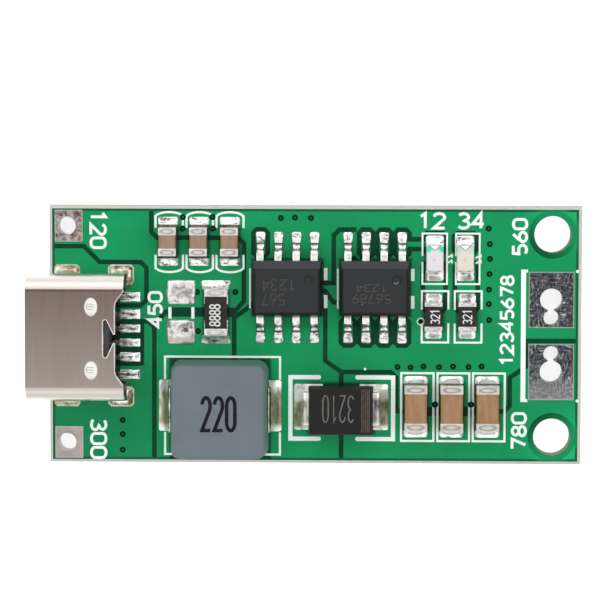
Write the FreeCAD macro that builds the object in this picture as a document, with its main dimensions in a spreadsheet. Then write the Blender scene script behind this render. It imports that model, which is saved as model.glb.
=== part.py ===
# Lithium battery charger module: a small single-sided circuit board with a USB-C receptacle.
# Millimetres. The origin is the middle of the board's underside: +X runs along the board from the
# receptacle to the battery pads, +Y across it, and +Z up through the components.

import FreeCAD, Part
import math
import os
import re
import Sketcher

Vector = FreeCAD.Vector

# Driving dimensions
SIZES = {
    # Board: laminate with scored and snapped edges, one copper layer on top
    "board_length": 37.65, "board_width": 18.3, "board_thickness": 1.6,
    "score_width": 0.25, "score_depth": 0.5,
    "copper_thickness": 0.035, "copper_margin": 0.17, "etch_gap": 0.33, "etch_turn": 0.4,
    "land_thickness": 0.03, "plating": 0.04, "underside_land": 0.035,
    # Holes and their lands
    "mount_hole_radius": 1.3, "mount_end": 2.075, "mount_side": 2.0, "mount_clearance": 0.4,
    "input_hole_radius": 0.64, "input_hole_end": 1.285, "input_side": 1.47,
    "input_land_end": 1.425, "input_land_length": 1.98, "input_land_width": 2.25,
    "output_end": 2.145, "output_wide_y": 2.55, "output_wide_radius": 0.8,
    "output_narrow_y": 1.27, "output_narrow_radius": 0.55,
    "output_land_length": 3.2, "output_land_width": 3.96,
    # Channels that part the copper into pours, set from what they pass
    "contact_channel_gap": 0.5, "sense_channel_gap": 0.55, "input_channel_y": 6.85, "switch_edge_gap": 0.63,
    "switch_channel_offset": 0.99, "rows_channel_offset": 0.76, "package_channel_gap": 0.22,
    "trace_channel_gap": 0.47, "trace_channel_offset": 0.32, "output_channel_gap": 1.37,
    "output_channel_offset": 0.32, "output_side_gap": 1.57, "pad_channel_gap": 1.76, "pad_channel_y": -0.35,
    "diode_channel_gap": 2.48, "trace_width": 0.36, "bare_strip": 0.67,
    # USB-C receptacle
    "port_y": -0.09, "port_overhang": 1.325, "port_width": 8.94, "port_height": 3.16,
    "port_length": 6.88, "port_corner": 1.28, "port_wall": 0.3, "port_lift": 0.015,
    "port_waist": 0.64, "port_waist_margin": -0.25, "port_waist_slope": 0.85, "port_waist_corner": 0.75,
    "dimple_rear": 2.26, "dimple_y": 2.22, "dimple_length": 1.25, "dimple_width": 0.88, "dimple_depth": 0.12,
    "latch_depth": 0.83, "latch_width": 2.75, "latch_side": 0.32, "latch_neck": 0.6, "latch_corner": 0.22,
    "leg_front": 2.63, "leg_rear": 0.43, "leg_length": 1.1, "leg_end": 0.15,
    "slot_length": 1.5, "slot_width": 0.62,
    "slot_land_length": 1.83, "slot_land_width": 1.44, "slot_land_corner": 0.2, "slot_heap": 0.28,
    "slot_heap_inset": 0.08, "slot_heap_draft": 50.0,
    "insulator_rear": 1.08, "insulator_depth": 1.35, "insulator_clearance": 0.02,
    "tongue_setback": 0.75, "tongue_gap": 0.825, "tongue_thickness": 0.7,
    "mid_plate_margin": 0.295, "mid_plate_seat": 0.7, "mid_plate_thickness": 0.15,
    "contact_inner_y": 0.5, "contact_middle_y": 1.52, "contact_outer_y": 2.75,
    "contact_width": 0.42, "contact_thickness": 0.12, "contact_tip": 0.24, "contact_drop": 0.13,
    "contact_foot": 1.32, "contact_land_heel": 0.44, "contact_land_toe": 0.5, "contact_land_width": 0.64,
    # Eight-lead packages
    "package_y": 3.36, "switch_x": -1.92, "controller_x": 4.26,
    "package_length": 4.9, "package_width": 3.9, "package_height": 1.45, "package_standoff": 0.12,
    "package_draft": 10.0, "package_bevel": 0.42, "pin_mark_radius": 0.3, "pin_mark_depth": 0.06,
    "pin_mark_x": 1.52, "pin_mark_y": 0.62,
    "lead_pitch": 1.27, "lead_width": 0.5, "lead_thickness": 0.2, "lead_shoulder": 2.6,
    "lead_heel": 2.74, "lead_toe": 3.08, "lead_bend": 0.08, "lead_root": 1.5,
    "lead_land_inner": 2.35, "lead_land_outer": 3.93, "lead_land_width": 0.68,
    # Diode
    "diode_x": 1.89, "diode_y": -5.09, "diode_length": 4.55, "diode_width": 3.45, "diode_height": 2.3,
    "diode_offset": -0.1,
    "diode_draft": 7.0, "diode_lead_width": 2.3, "diode_lead_thickness": 0.2, "diode_span": 5.5,
    "diode_foot": 1.15, "diode_root": 1.7, "diode_land_inner": 1.3, "diode_land_outer": 3.33,
    "diode_land_width": 3.25,
    # Power inductor
    "inductor_x": -6.68, "inductor_y": -5.03, "inductor_length": 6.95, "inductor_width": 6.95,
    "inductor_offset": -0.2, "inductor_draft": 4.0,
    "inductor_height": 3.0, "inductor_corner": 0.8, "inductor_edge": 0.15, "inductor_edge_slope": 45.0,
    "inductor_strap_width": 3.2, "inductor_strap_thickness": 0.15, "inductor_strap_rise": 1.35,
    "inductor_strap_foot": 1.4, "inductor_land_inner": 1.9, "inductor_land_outer": 4.35,
    "inductor_land_width": 3.72,
    # Chip components, all laid along Y
    "plating_cap": 0.03,
    "small_length": 2.0, "small_width": 1.25, "small_band": 0.3,
    "small_land_inner": 0.5, "small_land_outer": 1.6,
    "large_length": 3.25, "large_width": 1.6, "large_band": 0.5,
    "large_land_inner": 1.05, "large_land_outer": 2.18, "large_land_width": 1.7,
    "input_capacitor_x": -10.35, "input_capacitor_y": 6.6, "input_capacitor_pitch": 2.18,
    "input_capacitor_height": 1.25, "input_capacitor_band": 0.53,
    "input_land_outer": 1.73, "input_capacitor_land_width": 1.38,
    "output_capacitor_x": 7.16, "output_capacitor_y": -5.05, "output_capacitor_pitch": 2.52,
    "output_capacitor_height": 1.6, "output_capacitor_band": 0.6,
    "sense_x": -6.97, "spare_x": -9.45, "sense_y": 1.59, "sense_land_centre": 1.415,
    "sense_land_length": 1.98, "sense_land_width": 1.69,
    "resistor_height": 0.55, "resistor_coating": 0.05,
    "lump_step": 0.14, "lump_height": 0.07, "lump_corner": 0.12,
    "lamp_first_x": 8.46, "lamp_second_x": 10.6, "lamp_y": 5.46, "lamp_land_width": 1.28,
    "lamp_height": 0.8, "lamp_base": 0.3, "lamp_band": 0.42,
    "lamp_lens_length": 1.85, "lamp_lens_draft": 5.0,
    "lamp_resistor_first_x": 8.38, "lamp_resistor_second_x": 10.76, "lamp_resistor_y": 1.37,
}

# Places that follow from those sizes
PLACES = {
    "copper_top": "board_thickness + copper_thickness",
    "seat": "copper_top + land_thickness",
    # Holes, measured from the board's ends and sides
    "mount_x": "board_length / 2 - mount_end",
    "mount_y": "board_width / 2 - mount_side",
    "input_hole_x": "input_hole_end - board_length / 2",
    "input_land_x": "input_land_end - board_length / 2",
    "input_y": "board_width / 2 - input_side",
    "output_x": "board_length / 2 - output_end",
    # Receptacle, from its mouth backward
    "port_bottom": "copper_top + port_lift",
    "port_front_x": "-board_length / 2 - port_overhang",
    "port_rear_x": "port_front_x + port_length",
    "leg_front_x": "port_front_x + leg_front",
    "leg_rear_x": "port_rear_x - leg_rear",
    "slot_y": "(port_width - port_wall) / 2",
    "insulator_rear_x": "port_rear_x - insulator_rear",
    "insulator_front_x": "insulator_rear_x - insulator_depth",
    "tongue_front_x": "port_front_x + tongue_setback",
    "tongue_width": "port_width - 2 * port_wall - 2 * tongue_gap",
    "mid_plate_width": "tongue_width - 2 * mid_plate_margin",
    "mid_plate_length": "insulator_front_x + mid_plate_seat - tongue_front_x",
    "contact_drop_x": "insulator_rear_x + contact_drop",
    "contact_toe_x": "contact_drop_x + contact_foot",
    "contact_land_inner": "contact_drop_x + contact_land_heel",
    "contact_land_outer": "contact_toe_x + contact_land_toe",
    # Channels in the copper
    "contact_channel_x": "contact_land_outer + contact_channel_gap",
    "sense_channel_x": "contact_channel_x + sense_channel_gap",
    "switch_edge_x": "switch_x - package_length / 2 - switch_edge_gap",
    "switch_channel_x": "inductor_x + switch_channel_offset",
    "rows_channel_y": "package_y - rows_channel_offset",
    "package_channel_x": "switch_x + package_length / 2 + package_channel_gap",
    "trace_channel_x": "controller_x - package_length / 2 - trace_channel_gap",
    "trace_channel_y": "package_y + trace_channel_offset",
    "output_channel_x": "output_capacitor_x - output_channel_gap",
    "output_channel_y": "output_capacitor_y - output_channel_offset",
    "output_side_x": "output_capacitor_x + 2 * output_capacitor_pitch + output_side_gap",
    "pad_channel_x": "output_x - pad_channel_gap",
    "diode_channel_y": "diode_y + diode_channel_gap",
}


def formula(text, local=False):
    """A sum written with plain aliases, as an expression; local is for the sheet of places itself."""
    def prefixed(word):
        alias = word.group()
        if alias in SIZES:
            return "sizes." + alias
        return alias if local else "places." + alias
    return re.sub(r"[a-z][a-z_]+", prefixed, text)


doc = FreeCAD.newDocument("battery_charger_module")
sheet = doc.addObject("Spreadsheet::Sheet", "sizes")
for row, (alias, number) in enumerate(SIZES.items(), start=1):
    sheet.set(f"A{row}", alias)
    sheet.set(f"B{row}", str(number))
    sheet.setAlias(f"B{row}", alias)
doc.recompute()
places = doc.addObject("Spreadsheet::Sheet", "places")
for row, (alias, text) in enumerate(PLACES.items(), start=1):
    places.set(f"A{row}", alias)
    places.setAlias(f"B{row}", alias)
    places.set(f"B{row}", "=" + formula(text, local=True))
doc.recompute()

NODES = []


# Helpers

def size(alias):
    """The number that a sheet holds under this alias."""
    return float(getattr(sheet if alias in SIZES else places, alias))


def node(item, label):
    """Names the finished sub-part and lists it for writing."""
    item.Label = label
    NODES.append(item)
    return item


def new_body(name, x="0", y="0", z="0"):
    body = doc.addObject("PartDesign::Body", name)
    for axis, text in zip("xyz", (x, y, z)):
        body.setExpression(f".Placement.Base.{axis}", formula(text))
    return body


def new_sketch(body, role="XY_Plane", offset="0"):
    sketch = body.newObject("Sketcher::SketchObject", body.Name + "_sketch")
    plane = next(feature for feature in body.Origin.OriginFeatures if feature.Role == role)
    sketch.AttachmentSupport = (plane, [""])
    sketch.MapMode = "FlatFace"
    sketch.setExpression(".AttachmentOffset.Base.z", formula(offset))
    return sketch


def constrain(sketch, name, constraint, text):
    """Adds a named dimension that follows the sheet."""
    index = sketch.addConstraint(constraint)
    sketch.renameConstraint(index, name)
    sketch.setExpression("Constraints." + name, formula(text))


def add_rectangle(sketch, width, length, x="0", y="0"):
    """A rectangle centred on (x, y); each argument is a sum of sheet aliases."""
    first = sketch.GeometryCount
    corners = [Vector(-1, -1, 0), Vector(1, -1, 0), Vector(1, 1, 0), Vector(-1, 1, 0)]
    for index in range(4):
        sketch.addGeometry(Part.LineSegment(corners[index], corners[(index + 1) % 4]), False)
    for index in range(4):
        follower = first + (index + 1) % 4
        sketch.addConstraint(Sketcher.Constraint("Coincident", first + index, 2, follower, 1))
    for index in (0, 2):
        sketch.addConstraint(Sketcher.Constraint("Horizontal", first + index))
        sketch.addConstraint(Sketcher.Constraint("Vertical", first + index + 1))
    across = Sketcher.Constraint("DistanceX", first, 1, first, 2, 2.0)
    constrain(sketch, f"width{first}", across, width)
    along = Sketcher.Constraint("DistanceY", first + 1, 1, first + 1, 2, 2.0)
    constrain(sketch, f"length{first}", along, length)
    left = Sketcher.Constraint("DistanceX", -1, 1, first, 1, -1.0)
    constrain(sketch, f"left{first}", left, f"({x}) - ({width}) / 2")
    lower = Sketcher.Constraint("DistanceY", -1, 1, first, 1, -1.0)
    constrain(sketch, f"lower{first}", lower, f"({y}) - ({length}) / 2")


def add_circle(sketch, radius, x="0", y="0"):
    first = sketch.GeometryCount
    sketch.addGeometry(Part.Circle(Vector(1, 1, 0), Vector(0, 0, 1), 1.0), False)
    constrain(sketch, f"radius{first}", Sketcher.Constraint("Radius", first, 1.0), radius)
    constrain(sketch, f"across{first}", Sketcher.Constraint("DistanceX", -1, 1, first, 3, 1.0), x)
    constrain(sketch, f"along{first}", Sketcher.Constraint("DistanceY", -1, 1, first, 3, 1.0), y)


def rounded_outline(points, radii, faceted=False):
    """A closed outline whose corners have the given radii; faceted corners are cut straight."""
    corners = [Vector(x, y, 0) for x, y in points]
    count = len(corners)
    arcs = []
    for index, (corner, radius) in enumerate(zip(corners, radii)):
        before = (corners[index - 1] - corner).normalize()
        after = (corners[(index + 1) % count] - corner).normalize()
        if radius == 0:
            arcs.append((corner, corner, corner))
            continue
        half = before.getAngle(after) / 2
        setback = radius / math.tan(half)
        bisector = (before + after).normalize()
        middle = corner + bisector * (radius / math.sin(half) - radius)
        arcs.append((corner + before * setback, middle, corner + after * setback))
    edges = []
    for index, (start, middle, end) in enumerate(arcs):
        if start != end:
            edges.append(Part.LineSegment(start, end) if faceted else Part.Arc(start, middle, end))
        following = arcs[(index + 1) % count][0]
        if end.distanceToPoint(following) > 1e-6:
            edges.append(Part.LineSegment(end, following))
    return edges


def rounded_rectangle(width, length, radius, x=0.0, y=0.0, faceted=False):
    half_width = width / 2
    half_length = length / 2
    points = [(x + a * half_width, y + b * half_length) for a, b in ((-1, -1), (1, -1), (1, 1), (-1, 1))]
    return rounded_outline(points, [radius] * 4, faceted)


def strip_outline(path, thickness, bend=None, faceted=False):
    """The closed outline of a strip bent along a path; bend is its inner radius, or None for mitres."""
    points = [Vector(x, y, 0) for x, y in path]
    normals = []
    for start, end in zip(points, points[1:]):
        run = (end - start).normalize()
        normals.append(Vector(-run.y, run.x, 0))
    left = []
    right = []
    left_radii = []
    right_radii = []
    for index, point in enumerate(points):
        before = normals[max(index - 1, 0)]
        after = normals[min(index, len(normals) - 1)]
        miter = (before + after).normalize()
        reach = thickness / 2 / miter.dot(after)
        left.append(point + miter * reach)
        right.append(point - miter * reach)
        turn = before.cross(after).z
        straight = bend is None or abs(turn) < 1e-6
        left_radii.append(0 if straight else bend + (thickness if turn < 0 else 0))
        right_radii.append(0 if straight else bend + (thickness if turn > 0 else 0))
    outline = left + right[::-1]
    radii = left_radii + right_radii[::-1]
    return rounded_outline([(point.x, point.y) for point in outline], radii, faceted)


def add_feature(body, kind, sketch, length="0", **settings):
    feature = body.newObject("PartDesign::" + kind, body.Name + "_" + kind)
    feature.Profile = sketch
    for name, setting in settings.items():
        setattr(feature, name, setting)
    if length != "0":
        feature.setExpression("Length", formula(length))
    return feature


def cut_through(body, sketch):
    return add_feature(body, "Pocket", sketch, Type="ThroughAll")


def extruded_body(name, outline, width, role, x="0", y="0", z="0"):
    """A profile drawn on a side plane and padded evenly to both sides."""
    body = new_body(name, x, y, z)
    sketch = new_sketch(body, role)
    sketch.addGeometry(outline, False)
    add_feature(body, "Pad", sketch, width, SideType="Symmetric")
    return body


def copies(label, groups):
    """One node of equal solids: each source's shape set at its spots (x, y, z, turn)."""
    doc.recompute()
    placed = []
    for source, spots in groups:
        for x, y, z, turn in spots:
            spin = FreeCAD.Rotation(Vector(0, 0, 1), turn)
            copy = source.Shape.copy()
            copy.Placement = FreeCAD.Placement(Vector(x, y, z), spin)
            placed.extend(copy.Solids)
    group = doc.addObject("Part::Feature", label)
    group.Shape = Part.Compound(placed)
    return group


def cut(name, base, tool):
    result = doc.addObject("Part::Cut", name)
    result.Base = base
    result.Tool = tool
    return result


# Board

def level_edges(shape, level):
    """Names of the edges that lie at one level."""
    return [
        f"Edge{index}"
        for index, edge in enumerate(shape.Edges, start=1)
        if abs(edge.BoundBox.ZMin - level) < 1e-6 and abs(edge.BoundBox.ZMax - level) < 1e-6
    ]


def slot_outline(length, width, x=0.0, y=0.0):
    """A slot with round ends and straight runs along its longer side."""
    radius = min(length, width) / 2
    run = max(length, width) / 2 - radius
    ahead = Vector(1, 0, 0) if length > width else Vector(0, 1, 0)
    aside = Vector(-ahead.y, ahead.x, 0) * radius
    front = Vector(x, y, 0) + ahead * run
    back = Vector(x, y, 0) - ahead * run
    return [
        Part.LineSegment(back - aside, front - aside),
        Part.Arc(front - aside, front + ahead * radius, front + aside),
        Part.LineSegment(front + aside, back + aside),
        Part.Arc(back + aside, back - ahead * radius, back - aside),
    ]


def slot_land_outline(x=0.0, y=0.0):
    corner = size("slot_land_corner")
    return rounded_rectangle(size("slot_land_length"), size("slot_land_width"), corner, x, y, faceted=True)


def barrel_outline(x=0.0, y=0.0):
    """The outside of a plated slot, where it meets the laminate."""
    skin = 2 * size("plating")
    length = size("slot_length") + skin
    width = size("slot_width") + skin
    return rounded_rectangle(length, width, width / 4, x, y, faceted=True)


def slot_centres():
    """Middles of the four slots that take the receptacle's legs."""
    return [
        (size(column), size("port_y") + side * size("slot_y"))
        for column in ("leg_front_x", "leg_rear_x")
        for side in (-1, 1)
    ]


def make_board():
    body = new_body("board")
    outline = new_sketch(body)
    add_rectangle(outline, "board_length", "board_width")
    pad = add_feature(body, "Pad", outline, "board_thickness")
    doc.recompute()
    score = body.newObject("PartDesign::Chamfer", "score")
    rims = level_edges(pad.Shape, 0) + level_edges(pad.Shape, size("board_thickness"))
    score.Base = (pad, rims)
    score.ChamferType = "Two distances"
    score.setExpression("Size", formula("score_depth"))
    score.setExpression("Size2", formula("score_width"))
    holes = new_sketch(body, offset="board_thickness")
    for side in ("", "-"):
        add_circle(holes, "mount_hole_radius", "mount_x", side + "mount_y")
        add_circle(holes, "input_hole_radius + plating", "input_hole_x", side + "input_y")
        add_circle(holes, "output_wide_radius + plating", "output_x", side + "output_wide_y")
    for x, y in slot_centres():
        holes.addGeometry(barrel_outline(x, y), False)
    cut_through(body, holes)
    narrow = new_sketch(body, offset="board_thickness")
    for side in ("", "-"):
        add_circle(narrow, "output_narrow_radius + plating", "output_x", side + "output_narrow_y")
    cut_through(body, narrow)
    recesses = new_sketch(body)
    for side in ("", "-"):
        add_rectangle(recesses, "input_land_length", "input_land_width", "input_land_x", side + "input_y")
        add_rectangle(recesses, "output_land_length", "output_land_width", "output_x",
                      side + "output_wide_y")
    for x, y in slot_centres():
        recesses.addGeometry(slot_land_outline(x, y), False)
    add_feature(body, "Pocket", recesses, "underside_land", Reversed=True)
    return node(body, "circuit_board")


def make_land(label, x, y, land_x, length, width, holes):
    """A plated hole with its tinned land on top and its flush land on the underside."""
    body = new_body(label)
    top = new_sketch(body, offset="board_thickness")
    add_rectangle(top, length, width, land_x, y)
    add_feature(body, "Pad", top, "copper_thickness + land_thickness")
    for radius, hole_y in holes:
        barrel = new_sketch(body)
        add_circle(barrel, radius + " + plating", x, hole_y)
        add_feature(body, "Pad", barrel, "seat")
    under = new_sketch(body)
    add_rectangle(under, length, width, land_x, y)
    add_feature(body, "Pad", under, "underside_land")
    for radius, hole_y in holes:
        bore = new_sketch(body, offset="seat")
        add_circle(bore, radius, x, hole_y)
        cut_through(body, bore)
    return node(body, label)


def make_plated_holes():
    for name, side in (("plus", ""), ("minus", "-")):
        holes = [("input_hole_radius", side + "input_y")]
        make_land("input_" + name + "_land", "input_hole_x", side + "input_y", "input_land_x",
                  "input_land_length", "input_land_width", holes)
    for name, side in (("minus", ""), ("plus", "-")):
        holes = [("output_wide_radius", side + "output_wide_y"),
                 ("output_narrow_radius", side + "output_narrow_y")]
        make_land("output_" + name + "_land", "output_x", side + "output_wide_y", "output_x",
                  "output_land_length", "output_land_width", holes)


def make_slot_lands():
    """Plated slots for the receptacle's legs."""
    body = new_body("slot_land")
    barrel = new_sketch(body)
    barrel.addGeometry(barrel_outline(), False)
    add_feature(body, "Pad", barrel, "seat")
    plates = (("0", "underside_land"), ("board_thickness", "copper_thickness + land_thickness"))
    for level, thickness in plates:
        plate = new_sketch(body, offset=level)
        plate.addGeometry(slot_land_outline(), False)
        add_feature(body, "Pad", plate, thickness)
    bore = new_sketch(body, offset="seat")
    bore.addGeometry(slot_outline(size("slot_length"), size("slot_width")), False)
    cut_through(body, bore)
    spots = [(x, y, 0, 0) for x, y in slot_centres()]
    return node(copies("slot_lands", [(body, spots)]), "port_slot_lands")


# Copper: one etched sheet, parted into pours by narrow channels

def face_within(outline):
    edges = [curve.toShape() for curve in outline]
    return Part.Face(Part.Wire(Part.sortEdges(edges)[0]))


def channel(route):
    """A flat channel along a route."""
    return face_within(strip_outline(route, size("etch_gap")))


def flat_rectangle(x, y, width, length, corner=0.0, faceted=False):
    return face_within(rounded_rectangle(width, length, corner, x, y, faceted))


def flat_disc(x, y, radius):
    return Part.Face(Part.Wire(Part.makeCircle(radius, Vector(x, y, 0))))


def lead_columns(centre):
    return [centre + (index - 1.5) * size("lead_pitch") for index in range(4)]


def lead_lands(centre, sides=(1, -1)):
    """Middle, width and length of the lands under a package's leads."""
    inner = size("lead_land_inner")
    outer = size("lead_land_outer")
    return [
        (x, size("package_y") + side * (inner + outer) / 2, size("lead_land_width"), outer - inner)
        for side in sides
        for x in lead_columns(centre)
    ]


def contact_rows():
    """Y of the receptacle's six contacts, from the far side to the near one."""
    steps = [size("contact_outer_y"), size("contact_middle_y"), size("contact_inner_y")]
    return [size("port_y") + step for step in steps + [-step for step in steps[::-1]]]


def contact_land(y):
    inner = size("contact_land_inner")
    outer = size("contact_land_outer")
    return ((inner + outer) / 2, y, outer - inner, size("contact_land_width"))


def lamp_columns():
    """X of the two lamps and of their resistors."""
    return [
        (size("lamp_first_x"), size("lamp_resistor_first_x")),
        (size("lamp_second_x"), size("lamp_resistor_second_x")),
    ]


def signal_lands():
    """Lands that stand alone between the pours."""
    lands = lead_lands(size("controller_x"))[1:]
    lands.append(lead_lands(size("switch_x"))[0])
    lands.extend(contact_land(y) for y in contact_rows()[2:5])
    reach = size("small_land_outer")
    for lamp_x, resistor_x in lamp_columns():
        top = size("lamp_y") + reach
        lands.append((lamp_x, top - reach / 3, size("lamp_land_width"), reach * 2 / 3))
        bottom = size("lamp_resistor_y") + size("small_land_inner")
        upper = size("lamp_y") - size("small_land_inner")
        middle_x = (lamp_x + resistor_x) / 2
        lands.append((middle_x, (upper + bottom) / 2, size("lamp_land_width"), upper - bottom))
    trace_start = lead_columns(size("controller_x"))[3]
    trace_end = size("lamp_first_x")
    trace_y = size("package_y") + size("lead_toe")
    lands.append(((trace_start + trace_end) / 2, trace_y, trace_end - trace_start, size("trace_width")))
    return lands


def channel_routes():
    """Routes of the channels between the pours."""
    beyond = size("board_length")
    gap = size("etch_gap")
    turn = size("etch_turn")
    contacts = contact_rows()
    between_contacts = (contacts[0] + contacts[1]) / 2
    bare_edge = (contacts[1] + contacts[2]) / 2
    # Round the far input land and the receptacle to its contacts
    input_edge = size("input_y") - size("input_land_width") / 2 - gap
    input_side = size("input_land_x") + size("input_land_length") / 2 + gap / 4
    port_edge = size("port_y") + size("slot_y") + size("slot_land_width") / 2 + gap / 2
    contact_x = size("contact_channel_x")
    rear_x = size("insulator_rear_x")
    yield [(-beyond, input_edge), (input_side, input_edge),
           (input_side + input_edge - port_edge, port_edge), (contact_x - turn, port_edge),
           (contact_x, port_edge - turn), (contact_x, between_contacts + turn),
           (contact_x - turn, between_contacts), (rear_x, between_contacts), (rear_x, bare_edge)]
    # From the contacts down to the near edge, with a branch between the sense resistor's lands
    down_x = size("sense_channel_x")
    sense_y = size("sense_y")
    yield [(size("contact_land_outer"), bare_edge), (down_x - turn, bare_edge),
           (down_x, bare_edge - turn), (down_x, -beyond)]
    yield [(down_x, bare_edge - turn / 2), (down_x + 2 * turn, sense_y), (size("spare_x"), sense_y)]
    # Round the input capacitors, down beside the first package and under the inductor
    capacitor_y = size("input_channel_y")
    edge_x = size("switch_edge_x")
    under_x = size("switch_channel_x")
    yield [(down_x - turn / 2, beyond), (down_x - turn / 2, capacitor_y + turn),
           (down_x + turn / 2, capacitor_y), (edge_x - turn, capacitor_y), (edge_x, capacitor_y - turn),
           (edge_x, sense_y + 2 * turn), (under_x, sense_y), (under_x, -beyond)]
    # Between the first package's two rows, on to the diode and the near edge
    rows_y = size("rows_channel_y")
    right_x = size("package_channel_x")
    diode_x = size("diode_x")
    diode_edge = size("diode_channel_y")
    yield [(under_x, sense_y - turn), (edge_x + turn, sense_y + turn), (edge_x + 3 * turn, rows_y),
           (right_x - turn, rows_y), (right_x, rows_y - 2 * turn), (right_x, diode_edge + 2 * turn),
           (diode_x, diode_edge), (diode_x, -beyond)]
    # The trace that joins the two packages
    trace_x = size("trace_channel_x")
    trace_y = size("trace_channel_y")
    far_end = size("package_y") + size("lead_land_outer") + gap / 2
    start_x = right_x - turn
    lower_y = trace_y - turn - gap / 2
    yield [(start_x, trace_y), (trace_x, trace_y), (trace_x, far_end - turn), (trace_x + turn, far_end),
           (trace_x + 4 * turn, far_end)]
    yield [(start_x, trace_y), (start_x, lower_y), (right_x, lower_y), (trace_x, lower_y - 2 * turn),
           (trace_x + 2 * turn, lower_y - 2 * turn), (trace_x + 2 * turn, lower_y + 5 * turn),
           (trace_x + 4 * turn, lower_y + 6 * turn)]
    # Round the diode's cathode to the output capacitors and between the battery pads
    corner_x = size("output_channel_x")
    gap_y = size("output_channel_y")
    side_x = size("output_side_x")
    pad_x = size("pad_channel_x")
    pad_y = size("pad_channel_y")
    yield [(diode_x, diode_edge), (corner_x - turn, diode_edge), (corner_x, diode_edge - turn),
           (corner_x, gap_y), (side_x - turn, gap_y), (side_x, gap_y + turn), (side_x, gap_y + 6 * turn),
           (pad_x, gap_y + 8 * turn), (pad_x, pad_y), (beyond, pad_y)]


def bare_areas():
    """Areas with no copper: round lone lands, holes and between the sense and output lands."""
    gap = size("etch_gap")
    for x, y, width, length in signal_lands():
        yield flat_rectangle(x, y, width + 2 * gap, length + 2 * gap, gap, faceted=True)
    rows = contact_rows()
    left = size("insulator_rear_x")
    right = size("contact_land_outer") + gap
    top = (rows[1] + rows[2]) / 2
    bottom = (rows[4] + rows[5]) / 2
    yield flat_rectangle((left + right) / 2, (top + bottom) / 2, right - left, top - bottom)
    sense_left = size("spare_x") - size("sense_land_length") / 2
    sense_right = size("switch_channel_x")
    yield flat_rectangle((sense_left + sense_right) / 2, size("sense_y"), sense_right - sense_left,
                         size("bare_strip"))
    first = size("output_capacitor_x")
    span = 2 * size("output_capacitor_pitch")
    yield flat_rectangle(first + span / 2, size("output_channel_y"), span + size("large_width"),
                         size("bare_strip"))
    for side in (1, -1):
        yield flat_disc(size("mount_x"), side * size("mount_y"),
                        size("mount_hole_radius") + size("mount_clearance"))


def tinned_areas():
    """The lands of the plated holes, which stand in openings of the pours."""
    for side in (1, -1):
        yield flat_rectangle(size("input_land_x"), side * size("input_y"), size("input_land_length"),
                             size("input_land_width"))
        yield flat_rectangle(size("output_x"), side * size("output_wide_y"), size("output_land_length"),
                             size("output_land_width"))
    for x, y in slot_centres():
        yield face_within(slot_land_outline(x, y))


def make_copper():
    margin = size("score_width") + size("copper_margin")
    length = size("board_length") - 2 * margin
    width = size("board_width") - 2 * margin
    channels = [channel(route) for route in channel_routes()]
    sheet_face = flat_rectangle(0, 0, length, width)
    pours = sheet_face.cut(channels + list(bare_areas()))
    lone = [flat_rectangle(*land) for land in signal_lands()]
    up = Vector(0, 0, size("copper_thickness"))
    level = Vector(0, 0, size("board_thickness"))
    spots = {
        "copper_input": (size("input_capacitor_x"), size("input_capacitor_y") - size("small_land_outer")),
        "copper_shell": (size("leg_front_x"), -size("slot_y") - size("slot_land_width")),
        "copper_sense": (size("spare_x"), size("sense_y") - size("large_length")),
        "copper_switch": (size("switch_x"), -size("etch_turn")),
        "copper_output": (size("output_x"), size("output_channel_y")),
        "copper_ground": (size("output_side_x"), size("pad_channel_y")),
    }
    faces = pours.cut(list(tinned_areas())).Faces
    for label, (x, y) in spots.items():
        spot = Part.Vertex(x, y, 0)
        pour = min(faces, key=lambda face: face.distToShape(spot)[0])
        faces.remove(pour)
        copper = doc.addObject("Part::Feature", label)
        copper.Shape = pour.extrude(up)
        copper.setExpression(".Placement.Base.z", formula("board_thickness"))
        node(copper, label)
    least = size("etch_gap") ** 2
    merged = lone[0].multiFuse([face for face in faces if face.Area > least] + lone[1:])
    merged = merged.removeSplitter()
    copper = doc.addObject("Part::Feature", "copper_signal")
    copper.Shape = Part.Compound([face.extrude(up) for face in merged.Faces])
    copper.setExpression(".Placement.Base.z", formula("board_thickness"))
    node(copper, "copper_signal")


# Receptacle: a folded steel shell, a moulded insulator with its tongue, a stiffening plate and contacts

def port_section(inset):
    """The shell's rounded section, shrunk evenly by an inset, with Z from the board upward."""
    width = size("port_width") - 2 * inset
    height = size("port_height") - 2 * inset
    return rounded_rectangle(width, height, size("port_corner") - inset, 0, size("port_height") / 2)


def port_rear_outline():
    """What is cut from the shell's rear: a waist between the two longer sides."""
    rear = size("port_length")
    waist = rear - size("port_waist")
    half = size("contact_outer_y") + size("port_waist_margin")
    open_half = half + size("port_waist_slope")
    corner = size("port_waist_corner")
    clear_half = open_half + corner
    beyond = rear + size("port_waist")
    points = [(waist, -half), (rear, -open_half), (rear, -clear_half), (beyond, -clear_half),
              (beyond, clear_half), (rear, clear_half), (rear, open_half), (waist, half)]
    return rounded_outline(points, [corner, corner, 0, 0, 0, 0, corner, corner])


def latch_outline():
    """The window in the roof, which narrows to a neck that opens to the rear."""
    waist = size("port_length") - size("port_waist")
    front = waist - size("latch_depth")
    side = front + size("latch_side")
    beyond = waist + size("port_waist")
    half = size("latch_width") / 2
    neck = size("latch_neck") / 2
    points = [(front, -half), (front, half), (side, half), (waist, neck), (beyond, neck), (beyond, -neck),
              (waist, -neck), (side, -half)]
    corner = size("latch_corner")
    fine = size("latch_corner") / 2
    return rounded_outline(points, [corner, corner, fine, 0, 0, 0, 0, fine])


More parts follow.
